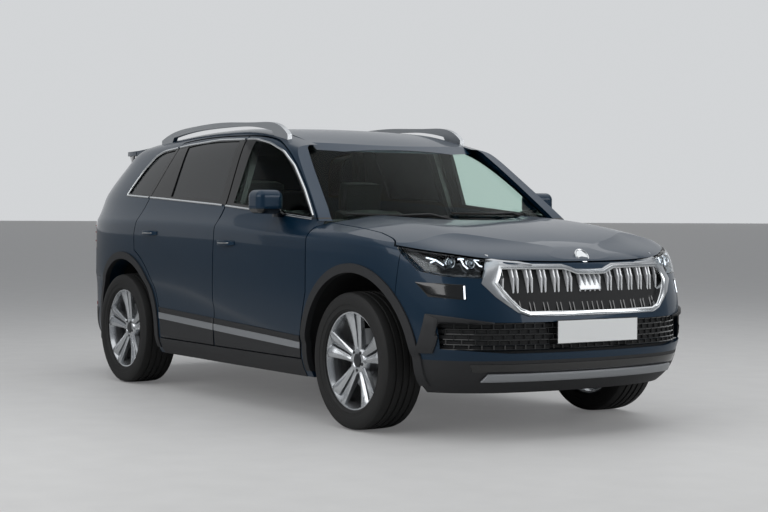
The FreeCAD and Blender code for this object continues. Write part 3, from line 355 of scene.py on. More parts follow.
# %% [markdown]
# ## Painted sides with black window surrounds
# The frames round the side windows are gloss black up to the bright strip, and painted above it. The border
# is a line along the vehicle, so the finish compares height with a curve of the distance along it.

# %% Window line
LINE_START, LINE_END, LINE_BASE = -1.5, 1.2, 1.0
BELT_LINE = ((-1.405, 1.235), (-0.9, 1.212), (-0.1, 1.170), (0.5, 1.130), (1.0, 1.090))
TOP_LINE = ((-1.405, 1.235), (-1.38, 1.285), (-1.3, 1.405), (-1.2, 1.492), (-1.1, 1.522), (-0.77, 1.549),
            (-0.35, 1.568),
            (0.096, 1.558), (0.27, 1.528), (0.45, 1.475), (0.62, 1.388), (0.82, 1.245), (1.0, 1.098))


def height_at(line, x):
    """The line's height at one distance along the vehicle."""
    for (x0, z0), (x1, z1) in zip(line, line[1:]):
        if x0 <= x <= x1:
            return z0 + (z1 - z0) * (x - x0) / (x1 - x0)
    return line[0][1] if x < line[0][0] else line[-1][1]


def surround_paint():
    """The paint, turned gloss black between the belt line and the top line."""
    material = paint.copy()
    material.name = "Paint_with_black_window_surround"
    shader, links = shader_of(material), material.node_tree.links
    place = add(material, "ShaderNodeTexCoord")
    split = add(material, "ShaderNodeSeparateXYZ", None, Vector=(place, "Object"))
    level = add(material, "ShaderNodeMath", {"operation": "SUBTRACT"}, _0=(split, "Z"))
    level.inputs[1].default_value = LINE_BASE
    inside = None
    for line, operation in ((BELT_LINE, "GREATER_THAN"), (TOP_LINE, "LESS_THAN")):
        share = add(material, "ShaderNodeMapRange", {"From Min": LINE_START, "From Max": LINE_END},
                    Value=(split, "X"))
        curve = add(material, "ShaderNodeFloatCurve", None, Value=(share, "Result"))
        points = curve.mapping.curves[0].points
        targets = [((x - LINE_START) / (LINE_END - LINE_START), z - LINE_BASE) for x, z in line]
        points[0].location, points[1].location = (0.0, targets[0][1]), (1.0, targets[-1][1])
        for x, z in targets:
            points.new(x, z)
        for point in points:
            point.handle_type = "VECTOR"
        curve.mapping.update()
        test = add(material, "ShaderNodeMath", {"operation": operation}, _0=(level, 0), _1=(curve, "Value"))
        if inside is None:
            inside = test
        else:
            inside = add(material, "ShaderNodeMath", {"operation": "MULTIPLY"}, _0=(inside, 0), _1=(test, 0))
    mix = add(material, "ShaderNodeMix", {"data_type": "RGBA"})
    links.new(inside.outputs[0], mix.inputs[0])
    links.new(shader.inputs["Base Color"].links[0].from_socket, mix.inputs[6])
    mix.inputs[7].default_value = colour("#060607")
    links.new(mix.outputs[2], shader.inputs["Base Color"])
    metal = add(material, "ShaderNodeMapRange", {"To Min": 0.45, "To Max": 0.0}, Value=(inside, 0))
    links.new(metal.outputs["Result"], shader.inputs["Metallic"])
    return material


side_paint = surround_paint()
print("the belt line falls from", BELT_LINE[0][1], "to", BELT_LINE[-1][1])

# %% [markdown]
# ## One finish for each node
# Every panel, window and mechanical part of the frame keeps its shape and only changes its material. A
# table gives each node its finish, and both sides share the same rows.

# %% Finish of every node of the frame
FINISH = {"roof": paint, "windscreen": clear_glass, "rear_bumper": paint, "tail_lamps": red_lens,
          "tailgate": paint, "rear_glass": privacy, "bonnet": paint, "headlamps": lens, "front_bumper": paint,
          "front_bumper_lower": grained, "grille": underbody, "lower_grille": underbody,
          "wheel_houses": underbody,
          "floor_pan": underbody, "front_structure": underbody, "roof_rails": satin, "dashboard": moulded,
          "steering_column": moulded, "steering_wheel": leather, "rear_seat": cloth, "engine": cast,
          "front_cradle": cast, "rear_axle": cast}
for side, _ in SIDES:
    FINISH.update({f"{side}_front_door": side_paint, f"{side}_rear_door": side_paint,
                   f"{side}_body_side": side_paint,
                   f"{side}_front_door_glass": clear_glass, f"{side}_rear_door_glass": privacy,
                   f"{side}_quarter_glass": privacy, f"{side}_wing": paint, f"{side}_arch_claddings": grained,
                   f"{side}_mirror": paint, f"{side}_front_seat": cloth, f"{side}_front_knuckle": cast})
    for end in ("front", "rear"):
        FINISH.update({f"{side}_{end}_tyre": rubber, f"{side}_{end}_rim": dark_alloy})
for name, material in FINISH.items():
    node = NODES[name]
    if not node.material_slots:
        node.data.materials.append(material)
    for place in node.material_slots:
        place.material = material
print("finished nodes:", len(FINISH), "of", len(NODES))

# %% [markdown]
# ## Reading the body's surface
# Small trims have to lie on the curved panels. A ray cast at a panel from outside gives the exact point of
# its skin.


# %% Rays onto the panels
def skin_y(x, z, *names):
    """How far out the left side's skin is at one place, taken from the named nodes."""
    reach = []
    for name in names:
        hit, point, _, _ = NODES[name].ray_cast(Vector((x, 1.2, z)), Vector((0, -1, 0)))
        if hit:
            reach.append(point.y)
    return max(reach) if reach else None


def bars(name, runs, radius, steps=1):
    """Many round bars in one mesh, each along its own run of points."""
    curve = bpy.data.curves.new(name, "CURVE")
    curve.dimensions = "3D"
    curve.bevel_depth = radius
    curve.bevel_resolution = steps
    curve.use_fill_caps = True
    for run in runs:
        line = curve.splines.new("POLY")
        line.points.add(len(run) - 1)
        for target, point in zip(line.points, run):
            target.co = (*point, 1.0)
    piece = placed(name, curve)
    only(piece)
    bpy.ops.object.convert(target="MESH")
    piece = bpy.context.object
    piece.name = piece.data.name = name
    smooth_by(piece, 40)
    return piece


print("skin of the front door, from the middle:", round(skin_y(0.2, 0.95, "left_front_door"), 4))

# %% [markdown]
# ## Bright strips round the side windows
# A thin chromed strip runs along the belt line and back over the tops of the windows. Each door carries its
# own length, cut at the shut lines.


# %% Window strips
def strip_points(line, start, end, step, names):
    count = max(2, int(abs(end - start) / step) + 1)
    points = []
    for i in range(count + 1):
        x = start + (end - start) * i / count
        z = height_at(line, x)
        y = skin_y(x, z, *names)
        if y is not None:
            points.append((x, y + 0.0015, z))
    return points


def window_strips():
    runs = (("front_door", "belt", BELT_LINE, 0.995, 0.010, ("left_front_door",)),
            ("rear_door", "belt", BELT_LINE, -0.006, -1.030, ("left_rear_door",)),
            ("body", "belt", BELT_LINE, -1.052, -1.398, ("left_body_side",)),
            ("front_door", "top", TOP_LINE, 0.99, -0.008, ("left_front_door",)),
            ("rear_door", "top", TOP_LINE, -0.036, -0.885, ("left_rear_door",)),
            ("body", "top", TOP_LINE, -0.915, -1.403, ("left_body_side",)))
    for part, place, line, start, end, names in runs:
        points = strip_points(line, start, end, 0.03, names)
        if len(points) < 2:
            print("no skin under", part, place)
            continue
        for side, sign in SIDES:
            piece = bars(f"{side}_{part}_{place}_strip", [[(x, y * sign, z) for x, y, z in points]], 0.0075,
                         3)
            body = "body" if part == "body" else f"{side}_{part}"
            hand_over(piece, body, chrome)


window_strips()

# %% [markdown]
# ## Patches of skin
# Claddings and lamp lenses follow the panel under them, so each starts as a copy of that panel's outer
# faces, is trimmed with bisect, and is given its own thickness.


# %% Skin patches
def skin_patch(name, node, cuts, facing, thickness, least=0.25):
    """The outer skin of a node, trimmed by planes (point, outward normal) and thickened outwards."""
    source = NODES[node]
    piece = placed(name, source.data.copy())
    editing_all(piece)
    bpy.ops.mesh.remove_doubles(threshold=0.00005)
    for point, normal in cuts:
        bpy.ops.mesh.select_all(action="SELECT")
        bpy.ops.mesh.bisect(plane_co=point, plane_no=normal, clear_outer=True)
    bpy.ops.object.mode_set(mode="OBJECT")
    cage = bmesh.new()
    cage.from_mesh(piece.data)
    towards = Vector(facing)
    lost = [face for face in cage.faces if face.normal.dot(towards) < least]
    bmesh.ops.delete(cage, geom=lost, context="FACES")
    cage.to_mesh(piece.data)
    cage.free()
    if thickness:
        applied(piece, "SOLIDIFY", thickness=thickness, offset=1.0)
    smooth_by(piece, 35)
    return piece


print("skin patches ready")

# %% [markdown]
# ## Sill cladding with its silver strip
# The foot of each door is dark grained plastic, and a silver strip rises gently along its top edge.

# %% Door cladding and silver strips
STRIP_FRONT, STRIP_REAR = (0.972, 0.408), (-0.776, 0.474)
STRIP_HALF = 0.019


def strip_height(x):
    share = (x - STRIP_REAR[0]) / (STRIP_FRONT[0] - STRIP_REAR[0])
    return STRIP_REAR[1] + (STRIP_FRONT[1] - STRIP_REAR[1]) * share


def door_claddings():
    slope = Vector((STRIP_FRONT[0] - STRIP_REAR[0], 0, STRIP_FRONT[1] - STRIP_REAR[1])).normalized()
    up = Vector((-slope.z, 0, slope.x))
    middle = Vector((0, 0, strip_height(0)))
    for part in ("front_door", "rear_door"):
        low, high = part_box(f"left_{part}")
        cover = [(middle + up * 0.052, up), (Vector((high[0] - 0.012, 0, 0)), Vector((1, 0, 0))),
                 (Vector((low[0] + 0.012, 0, 0)), Vector((-1, 0, 0)))]
        dark = skin_patch(f"left_{part}_cladding", f"left_{part}", cover, (0, 1, 0), 0.0045)
        band = cover[1:] + [(middle + up * STRIP_HALF, up), (middle - up * STRIP_HALF, -up)]
        silver = skin_patch(f"left_{part}_sill_strip", f"left_{part}", band, (0, 1, 0), 0.0085)
        for left, material, slot in ((dark, grained, "dark_trim"), (silver, silver_plastic, "rail")):
            hand_over_pair(left, f"left_{part}", material)


def sill_covers():
    """The foot of the body side between the arches, in the same dark plastic."""
    cuts = [(Vector((0, 0, SILL_TOP)), Vector((0, 0, 1))), (Vector((SILL_ENDS[1], 0, 0)), Vector((1, 0, 0))),
            (Vector((SILL_ENDS[0], 0, 0)), Vector((-1, 0, 0)))]
    left = skin_patch("left_sill_cover", "left_body_side", cuts, (0, 1, 0), 0.0030)
    hand_over_pair(left, "body", grained)


SILL_TOP, SILL_ENDS = 0.331, (-0.80, 0.975)
door_claddings()
sill_covers()
print("the silver strip rises from", STRIP_FRONT[1], "to", STRIP_REAR[1])

# %% [markdown]
# ## Road wheels
# A tyre and an alloy wheel are both bodies of revolution, so each profile is drawn once and spun round the
# axle. The five twin spokes are blades that start as cubes, are pulled to shape, and are turned round the
# hub.

# %% Spun shapes
WHEEL_WIDTH = 0.235
TYRE_RADIUS, RIM_RADIUS = 0.359, 0.258


def spun(name, profile, steps=96):
    """A closed profile of (y, radius) points turned about the Y axis."""
    edges = [(i, (i + 1) % len(profile)) for i in range(len(profile))]
    piece = from_points(name, [(0, y, r) for y, r in profile], [], edges)
    editing_all(piece)
    bpy.ops.mesh.spin(steps=steps, angle=math.tau, center=(0, 0, 0), axis=(0, 1, 0))
    bpy.ops.object.mode_set(mode="OBJECT")
    outwards(piece)
    smooth_by(piece, 30)
    return piece


def tyre_profile():
    """Tread with four grooves, rounded shoulders, a rim protector and a bead."""
    half = WHEEL_WIDTH / 2
    crown = [(-0.094, 0.3555), (-0.072, 0.3575), (-0.066, 0.3578), (-0.064, 0.3505), (-0.055, 0.3505),
             (-0.053, 0.3583), (-0.026, 0.3589), (-0.024, 0.351), (-0.014, 0.351), (-0.012, 0.359)]
    mirror = [(-y, r) for y, r in reversed(crown)]
    side = [(half - 0.012, 0.3515), (half - 0.005, 0.343), (half - 0.0015, 0.328), (half, 0.312),
            (half - 0.001, 0.300),
            (half - 0.0015, 0.2935), (half - 0.004, 0.292), (half - 0.004, 0.288), (half - 0.007, 0.276),
            (half - 0.006, 0.2685), (half - 0.0125, 0.264), (half - 0.016, 0.258)]
    bead = [(0.0846, 0.258), (0.0846, 0.268), (0.088, 0.30), (0.080, 0.335), (0.05, 0.342)]
    left_side = [(-y, r) for y, r in reversed(side)]
    left_bead = [(-y, r) for y, r in reversed(bead)]
    return crown + mirror + side + bead + left_bead + left_side


tyre_shape = spun("tyre_shape", tyre_profile(), 120)
barrel_shape = spun("barrel_shape", [(-0.092, 0.258), (-0.092, 0.246), (-0.07, 0.238), (0.045, 0.234),
                                     (0.066, 0.236),
                                     (0.079, 0.241), (0.088, 0.245), (0.0935, 0.2475), (0.0945, 0.2545),
                                     (0.093, 0.2578),
                                     (0.076, 0.258), (0.068, 0.248), (0.06, 0.241), (-0.06, 0.241),
                                     (-0.068, 0.248), (-0.076, 0.258)], 120)
hub_shape = spun("hub_shape", [(0.031, 0.034), (0.031, 0.078), (0.046, 0.074), (0.058, 0.068), (0.064, 0.060),
                               (0.0655, 0.042), (0.062, 0.036), (0.058, 0.0345), (0.058, 0.0335)], 72)
cap_shape = spun("cap_shape", [(0.050, 0.0005), (0.050, 0.0322), (0.0625, 0.0322), (0.0655, 0.0295),
                               (0.0665, 0.024), (0.0662, 0.0005)], 48)
disc_shape = spun("disc_shape", [(-0.032, 0.165), (-0.006, 0.165), (-0.006, 0.082), (0.024, 0.080),
                                 (0.030, 0.078),
                                 (0.030, 0.040), (0.024, 0.040), (0.024, 0.072), (-0.010, 0.074),
                                 (-0.032, 0.090)], 72)
print("points in the tyre's profile:", len(tyre_profile()))

# %% [markdown]
# ## Twin spokes
# The real wheel is one casting whose spoke faces are turned bright on a lathe. One blade is pulled to shape
# from a divided cube, because its crease and its lean vary along its length, and copies are turned round
# the hub.

# %% Spokes
SPOKE_PAIRS = 5
SPOKE_STEP = 360 // SPOKE_PAIRS
SPOKE_ROOT, SPOKE_TIP = 0.052, 0.245


def blade(name, side):
    """One half of a twin spoke: narrow at the hub, wide and leaning outwards at the rim."""
    piece = block(name, 3)
    for vertex in piece.data.vertices:
        u, v, w = vertex.co.z + 0.5, vertex.co.x * 2, vertex.co.y * 2
        radius = SPOKE_ROOT + (SPOKE_TIP - SPOKE_ROOT) * u
        near, far = 0.0035 + 0.0045 * u, 0.030 + 0.034 * u + 0.012 * u * u
        across = side * (near + (far - near) * (v * side + 1) / 2)
        front = 0.058 + 0.016 * u + 0.014 * u * u
        crease = 0.007 * (1 - abs(v)) + 0.006 * side * v * u
        depth = 0.034 - 0.014 * u
        vertex.co = (across, front + crease - (1 - w) / 2 * depth, radius)
    bevelled(piece, 0.0022, 2)
    outwards(piece)
    smooth_by(piece, 25)
    return piece


def spoke_set():
    pairs = []
    for turn in range(SPOKE_PAIRS):
        for side in (-1, 1):
            arm = blade(f"blade_{turn}_{side}", side)
            arm.data.transform(Matrix.Rotation(math.radians(SPOKE_STEP * turn), 4, "Y"))
            pairs.append(arm)
    return joined("spoke_shape", pairs)


def bolt_set():
    """Five wheel bolts in their seats round the hub."""
    bolts = []
    for turn in range(SPOKE_PAIRS):
        bpy.ops.mesh.primitive_cylinder_add(vertices=6, radius=0.0088, depth=0.012,
                                            location=(0, 0.0625, 0.050), rotation=(math.radians(90), 0, 0))
        bolt = bpy.context.object
        settle(bolt)
        bevelled(bolt, 0.0012, 2)
        bolt.data.transform(Matrix.Rotation(math.radians(SPOKE_STEP * (turn + 0.5)), 4, "Y"))
        bolts.append(bolt)
    return joined("bolt_shape", bolts)


spoke_shape = spoke_set()
bolt_shape = bolt_set()
print("spoke blades a wheel:", 2 * SPOKE_PAIRS)

# %% [markdown]
# ## Four wheels
# The shapes are modelled once at the origin. Each wheel gets copies with their own mesh, turned so that the
# spokes face outwards, and they ride on the wheel that spins.


# %% Four wheels
def wheel_at(shape, name, x, sign):
    """A copy of a wheel piece, turned to face outwards and put on its axle."""
    piece = own_copy(shape, name)
    if sign < 0:
        piece.data.transform(Matrix.Rotation(math.pi, 4, "Z"))
    piece.data.transform(Matrix.Translation((x, sign * HALF_TRACK, TYRE_RADIUS)))
    return piece


WHEEL_PIECES = ((spoke_shape, "spokes", machined, "alloy"), (hub_shape, "hub", machined, "alloy"),
                (cap_shape, "cap", dark_alloy, "alloy"), (disc_shape, "brake_disc", steel, "iron"),
                (bolt_shape, "bolts", dark_alloy, "alloy"))
HALF_TRACK = sum(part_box("left_front_tyre")[i][1] for i in (0, 1)) / 2
for side, sign in SIDES:
    for end in ("front", "rear"):
        low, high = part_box(f"{side}_{end}_tyre")
        x, wheel = (low[0] + high[0]) / 2, f"{side}_{end}_wheel"
        cover = wheel_at(tyre_shape, f"{side}_{end}_tyre_tread", x, sign)
        hand_over(cover, wheel, rubber)
        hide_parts(f"{side}_{end}_tyre")
        barrel = wheel_at(barrel_shape, f"{side}_{end}_wheel_barrel", x, sign)
        hand_over(barrel, wheel, machined)
        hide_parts(f"{side}_{end}_rim")
        for shape, label, material, slot in WHEEL_PIECES:
            hand_over(wheel_at(shape, f"{side}_{end}_{label}", x, sign), wheel, material)
for shape in (tyre_shape, barrel_shape, spoke_shape, hub_shape, cap_shape, disc_shape, bolt_shape):
    bpy.data.objects.remove(shape, do_unlink=True)
print("wheels modelled at half track", round(HALF_TRACK, 4))

# %% [markdown]
# ## Working on the nose
# Every trim on the nose has to follow its double curve. A ray from the front finds the skin, and where an
# opening lets the ray through, the height above and the height below are joined by a straight line.

# %% Surface of the nose and the tail
NOSE_SKINS = ("front_bumper", "bonnet", "front_bumper_lower", "headlamps")
TAIL_SKINS = ("tailgate", "rear_bumper", "tail_lamps", "rear_glass", "left_body_side", "right_body_side")
CAD_FRONT, CAD_REAR = cad_box[1][0] - 0.001, cad_box[0][0] + 0.001
MOUTH_PLATES, PLATE_DEPTH = ("grille", "lower_grille"), 0.031
RAY_START, END_LEAST, EDGE_ROOM = 2.6, 1.75, 0.008


def skin_x(y, z, names, way):
    """The outermost skin at one place of the nose (way 1) or of the tail (way -1)."""
    reach = []
    for name in names:
        hit, point, _, _ = NODES[name].ray_cast(Vector((RAY_START * way, y, z)), Vector((-way, 0, 0)))
        if hit and point.x * way > END_LEAST:
            reach.append(point.x * way)
    return max(reach) * way if reach else None


def bridged_x(y, z, names, way):
    """The skin, bridged straight across an opening."""
    found = skin_x(y, z, names, way)
    if found is not None:
        return found
    plate = skin_x(y, z, MOUTH_PLATES, way)
    if plate is not None:
        return plate + PLATE_DEPTH * way
    ends = []
    for step in (0.006, -0.006):
        for i in range(1, 60):
            x = skin_x(y, z + step * i, names, way)
            if x is not None:
                ends.append((abs(step * i), x))
                break
    if not ends:
        return END_LEAST * way
    if len(ends) == 1:
        return ends[0][1]
    (up, high), (down, low) = ends
    return (high * down + low * up) / (up + down)


def over_nose(y, z, lift=0.0):
    return min(bridged_x(y, z, NOSE_SKINS, 1) + lift, CAD_FRONT - EDGE_ROOM)


def over_tail(y, z, lift=0.0):
    return max(bridged_x(y, z, TAIL_SKINS, -1) - lift, CAD_REAR + EDGE_ROOM)


def end_patch(name, low, high, steps, surface, lift, thickness, rows=4, bevel=0.0015):
    """A plate on the nose or the tail between a low and a high line, each given by its two (y, z) ends."""
    verts, faces = [], []
    for bottom, top in zip(spread(*low, steps), spread(*high, steps)):
        verts += [(surface(y, z, lift), y, z) for y, z in spread(bottom, top, rows)]
    for i in range(steps):
        for k in range(rows):
            a = i * (rows + 1) + k
            faces.append((a, a + 1, a + rows + 2, a + rows + 1))
    piece = from_points(name, verts, faces)
    outwards(piece)
    applied(piece, "SOLIDIFY", thickness=thickness, offset=0.0)
    outwards(piece)
    if bevel:
        bevelled(piece, bevel, 2)
    smooth_by(piece, 35)
    return piece


def spread(start, end, count):
    """Evenly spaced (y, z) points from start to end."""
    return [tuple(a + (b - a) * i / count for a, b in zip(start, end)) for i in range(count + 1)]


print("nose at bumper height:", round(over_nose(0, 0.54), 4))

# %% [markdown]
# ## Radiator grille
# A bright frame runs all round the mouth and widens into a faceted satin piece at each side. Behind it
# stand pairs of upright double slats, bent forwards at a knee, with a closer group in the middle.

# %% Grille outline
MOUTH_HALF = [(0.0, 0.630), (0.20, 0.630), (0.405, 0.631), (0.455, 0.650), (0.500, 0.700), (0.530, 0.742),
              (0.556, 0.785),
              (0.536, 0.826), (0.514, 0.864), (0.34, 0.863), (0.165, 0.861), (0.125, 0.849), (0.090, 0.836),
              (0.0, 0.834)]


def mouth_heights(y):
    """The lower and upper edge of the mouth at a distance from the middle."""
    y = min(abs(y), 0.55)
    crossings = []
    for (y0, z0), (y1, z1) in zip(MOUTH_HALF, MOUTH_HALF[1:]):
        if min(y0, y1) <= y <= max(y0, y1) and y0 != y1:
            crossings.append(z0 + (z1 - z0) * (y - y0) / (y1 - y0))
    return min(crossings), max(crossings)


def ring_band(name, half, profile):
    """A closed band round a mirrored outline; profile(y, z) gives its (outwards, forwards) section there."""
    outline = half + [(-y, z) for y, z in reversed(half[1:-1])]
    count = len(outline)
    verts, faces, width = [], [], len(profile(*outline[0]))
    for i, (y, z) in enumerate(outline):
        before, after = Vector(outline[i - 1]), Vector(outline[(i + 1) % count])
        here = Vector((y, z))
        first, second = (here - before).normalized(), (after - here).normalized()
        along = (first + second).normalized()
        out = Vector((along.y, -along.x))
        stretch = 1 / max(0.6, along.dot(first))
        for away, lift in profile(y, z):
            py, pz = y + out.x * away * stretch, z + out.y * away * stretch
            verts.append((over_nose(py, pz, lift), py, pz))
    for i in range(count):
        for k in range(width):
            a, b = i * width + k, i * width + (k + 1) % width
            c, d = ((i + 1) % count) * width + (k + 1) % width, ((i + 1) % count) * width + k
            faces.append((a, b, c, d))
    piece = from_points(name, verts, faces)
    outwards(piece)
    smooth_by(piece, 30)
    return piece


def bright_section(y, z):
    return [(-0.014, -0.030), (-0.014, 0.006), (-0.009, 0.011), (0.001, 0.011), (0.005, 0.006),
            (0.005, -0.012)]


def satin_section(y, z):
    """Wide beside the mouth's corners, narrow above and below it."""
    side = max(0.0, min(1.0, (abs(y) - 0.40) / 0.11)) * max(0.0, min(1.0, (z - 0.64) / 0.14))
    wide = 0.012 + 0.045 * side
    return [(0.004, -0.010), (0.004, 0.004), (0.4 * wide + 0.004, 0.009), (wide, 0.003), (wide, -0.008)]


hand_over(ring_band("grille_bright_frame", MOUTH_HALF, bright_section), "body", chrome)
hand_over(ring_band("grille_satin_frame", MOUTH_HALF, satin_section), "body", satin)
print("the mouth's heights at the middle:", mouth_heights(0))

# %% [markdown]
# ## Slats
# A slat is a moulded strip whose near-white face is a painted reflection, standing in for the light that its chrome
# would mirror. It is drawn from its side view, as a short chain of sections, because the knee between its two parts
# has to stay sharp. The part below the knee is dark.

# %% Grille slats
PAIR_FIRST, PAIR_PITCH, PAIR_COUNT = 0.132, 0.077, 6
SLAT_GAP, SLAT_HALF = 0.0115, 0.0048
KNEE, FOOT = 0.806, 0.722


def slat(name, y, part):
    """An upright slat: its upper part leans forwards to the knee and drops straight, its foot falls back."""
    low, high = mouth_heights(y)
    knee, foot = min(KNEE, high - 0.022), max(FOOT, low + 0.03)
    face = over_nose(y, knee)
    bottom = over_nose(y, low + 0.004) - face
    if part == "upper":
        spine = [(-0.030, high + 0.004), (-0.010, knee + 0.004), (-0.006, knee), (-0.006, foot)]
    else:
        spine = [(-0.0062, foot - 0.0002), (bottom - 0.020, low - 0.002)]
    verts, faces = [], []
    for x, z in spine:
        for dy, dx in ((-SLAT_HALF, -0.030), (-SLAT_HALF, -0.001), (-SLAT_HALF * 0.6, 0.0),
                       (SLAT_HALF * 0.6, 0.0), (SLAT_HALF, -0.001), (SLAT_HALF, -0.030)):
            verts.append((face + x + dx, y + dy, z))
    for i in range(len(spine) - 1):
        for k in range(6):
            a, b = i * 6 + k, i * 6 + (k + 1) % 6
            faces.append((a, b, b + 6, a + 6))
    faces.append(tuple(range(6)))
    faces.append(tuple(reversed(range(len(verts) - 6, len(verts)))))
    piece = from_points(name, verts, faces)
    outwards(piece)
    return piece


def grille_slats():
    places = []
    for side in (-1, 1):
        for i in range(PAIR_COUNT):
            middle = side * (PAIR_FIRST + PAIR_PITCH * i)
            if i < PAIR_COUNT - 1:
                places += [middle - SLAT_GAP, middle + SLAT_GAP]
            else:
                places.append(middle - side * SLAT_GAP)
    places += [0.032 * k for k in (-2, -1, 0, 1, 2)]
    # The upper slats carry the painted reflection, and the parts below the knee are gloss black.
    for part, material in (("upper", slat_painted_reflection), ("lower", gloss_black)):
        upright = [slat(f"slat_{part}_{i}", y, part) for i, y in enumerate(sorted(places))]
        slats = joined(f"grille_slats_{part}", upright)
        smooth_by(slats, 25)
        hand_over(slats, "body", material)


grille_slats()
hand_over(end_patch("grille_sensor_cover", ((-0.070, 0.742), (0.070, 0.742)),
                    ((-0.070, 0.806), (0.070, 0.806)), 8, over_nose, -0.024, 0.004), "body", satin)
print("pairs of slats a side:", PAIR_COUNT)

# %% [markdown]
# ## Lower intake, fins and skid bar
# The lower intake holds a mesh of flat bars with staggered uprights. A dark C-shaped fin closes each end,
# and a silver bar crosses the foot of the bumper under a black slot.

# %% Lower intake
INTAKE_ROWS = (0.458, 0.481, 0.506, 0.533, 0.560, 0.587)
INTAKE_HALF, UPRIGHT_PITCH, MESH_DEPTH = 0.785, 0.052, -0.024


def intake_mesh():
    runs = []
    for row in INTAKE_ROWS:
        line = spread((-INTAKE_HALF, row), (INTAKE_HALF, row), 40)
        runs.append([(over_nose(y, z, MESH_DEPTH), y, z) for y, z in line])
    count = int(INTAKE_HALF / UPRIGHT_PITCH)
    for row, (low, high) in enumerate(zip(INTAKE_ROWS, INTAKE_ROWS[1:])):
        for i in range(-count, count + 1):
            y = (i + 0.5 * (row % 2)) * UPRIGHT_PITCH
            if abs(y) < INTAKE_HALF:
                runs.append([(over_nose(y, low, MESH_DEPTH), y, low),
                             (over_nose(y, high, MESH_DEPTH), y, high)])
    return bars("intake_mesh", runs, 0.0042)


hand_over(intake_mesh(), "body", gloss_black)

for side, sign in SIDES:
    upright = end_patch(f"{side}_fin_upright", ((sign * 0.808, 0.440), (sign * 0.852, 0.436)),
                        ((sign * 0.794, 0.604), (sign * 0.832, 0.632)), 5, over_nose, 0.009, 0.016)
    arm = end_patch(f"{side}_fin_arm", ((sign * 0.585, 0.588), (sign * 0.800, 0.590)),
                    ((sign * 0.585, 0.592), (sign * 0.830, 0.632)), 8, over_nose, 0.008, 0.014)
    hand_over(upright, "body", grained)
    hand_over(arm, "body", grained)

hand_over(end_patch("skid_bar", ((-0.62, 0.300), (0.62, 0.300)), ((-0.60, 0.340), (0.60, 0.340)), 30,
                    over_nose, 0.010, 0.014, bevel=0.004), "body", silver_plastic)
hand_over(end_patch("lower_slot", ((-0.66, 0.347), (0.66, 0.347)), ((-0.68, 0.388), (0.68, 0.388)), 30,
                    over_nose, 0.0005, 0.004), "body", gloss_black)
print("bars across the intake:", len(INTAKE_ROWS))

# %% [markdown]
# ## Plates and badge
# Registration plates are flat acrylic on a black holder, and here they stay blank. The place of the badge
# holds a plain turned disc.

# %% Plates and badge
PLATE_HALF, PLATE_HIGH = 0.260, 0.111


def blank_plate(name, surface, middle, body, way):
    """A blank registration plate on its black holder."""
    face = surface(0, middle) + way * 0.004
    for label, grow, x, material in (("holder", 0.004, face, grained),
                                     ("", 0.0, face + way * 0.0035, plate_white)):
        bpy.ops.mesh.primitive_cube_add(size=1, location=(x, 0, middle),
                                        scale=(0.004, 2 * (PLATE_HALF + grow), PLATE_HIGH + 2 * grow))
        piece = bpy.context.object
        piece.name = piece.data.name = f"{name}_{label}".rstrip("_")
        settle(piece)
        bevelled(piece, 0.0015, 2)
        hand_over(piece, body, material)


blank_plate("front_plate", lambda y, z: min(over_nose(y, z), CAD_FRONT - 0.011), 0.540, "body", 1)
badge = spun("plain_badge", [(0.000, 0.0004), (0.003, 0.030), (0.003, 0.0335), (0.0065, 0.0345),
                             (0.0075, 0.038), (0.006, 0.0415),
                             (0.000, 0.0425), (-0.004, 0.040), (-0.004, 0.0004)], 64)
badge.data.transform(Matrix.Rotation(math.radians(-90), 4, "Z"))
badge.data.transform(Matrix.Rotation(math.radians(-38), 4, "Y"))
badge.data.transform(Matrix.Translation((over_nose(0, 0.909) + 0.001, 0, 0.909)))
hand_over(badge, "bonnet", chrome)
print("blank plate:", 2 * PLATE_HALF, "by", PLATE_HIGH)

# %% [markdown]
# ## Headlamps
# A clear polycarbonate lens closes a dark tray. In the tray stand two projector lenses and the bright light
# guides.


# %% Headlamp shells
def headlamp(side, sign):
    lens_piece = skin_patch(f"{side}_headlamp_lens", "headlamps",
                            [(Vector((0, 0, 0)), Vector((0, -sign, 0)))], (0.9, 0.43 * sign, 0), 0.0025, 0.30)
    hand_over(lens_piece, "body", lens)
    tray = skin_patch(f"{side}_headlamp_tray", "headlamps", [(Vector((0, 0, 0)), Vector((0, -sign, 0)))],
                      (0.9, 0.43 * sign, 0), 0.0, 0.30)
    front = {tuple(round(c, 5) for c in face.center) for face in tray.data.polygons}
    editing_all(tray)
    bpy.ops.mesh.extrude_region_move(TRANSFORM_OT_translate={"value": (-0.050, -0.020 * sign, 0)})
    bpy.ops.mesh.select_all(action="DESELECT")
    bpy.ops.object.mode_set(mode="OBJECT")
    for face in tray.data.polygons:
        face.select = tuple(round(c, 5) for c in face.center) in front
    bpy.ops.object.mode_set(mode="EDIT")
    bpy.ops.mesh.delete(type="FACE")
    bpy.ops.object.mode_set(mode="OBJECT")
    applied(tray, "SOLIDIFY", thickness=0.002, offset=0.0)
    outwards(tray)
    hand_over(tray, "body", gloss_black)
    return lens_piece


print("headlamp shells ready")

# %% [markdown]
# ## Projectors and light guides
# A projector is a turned part, a dome in a metallised ring, so it is spun from a profile. A light guide is
# a clear rod lit from its end, so it is a thin round bar that glows.


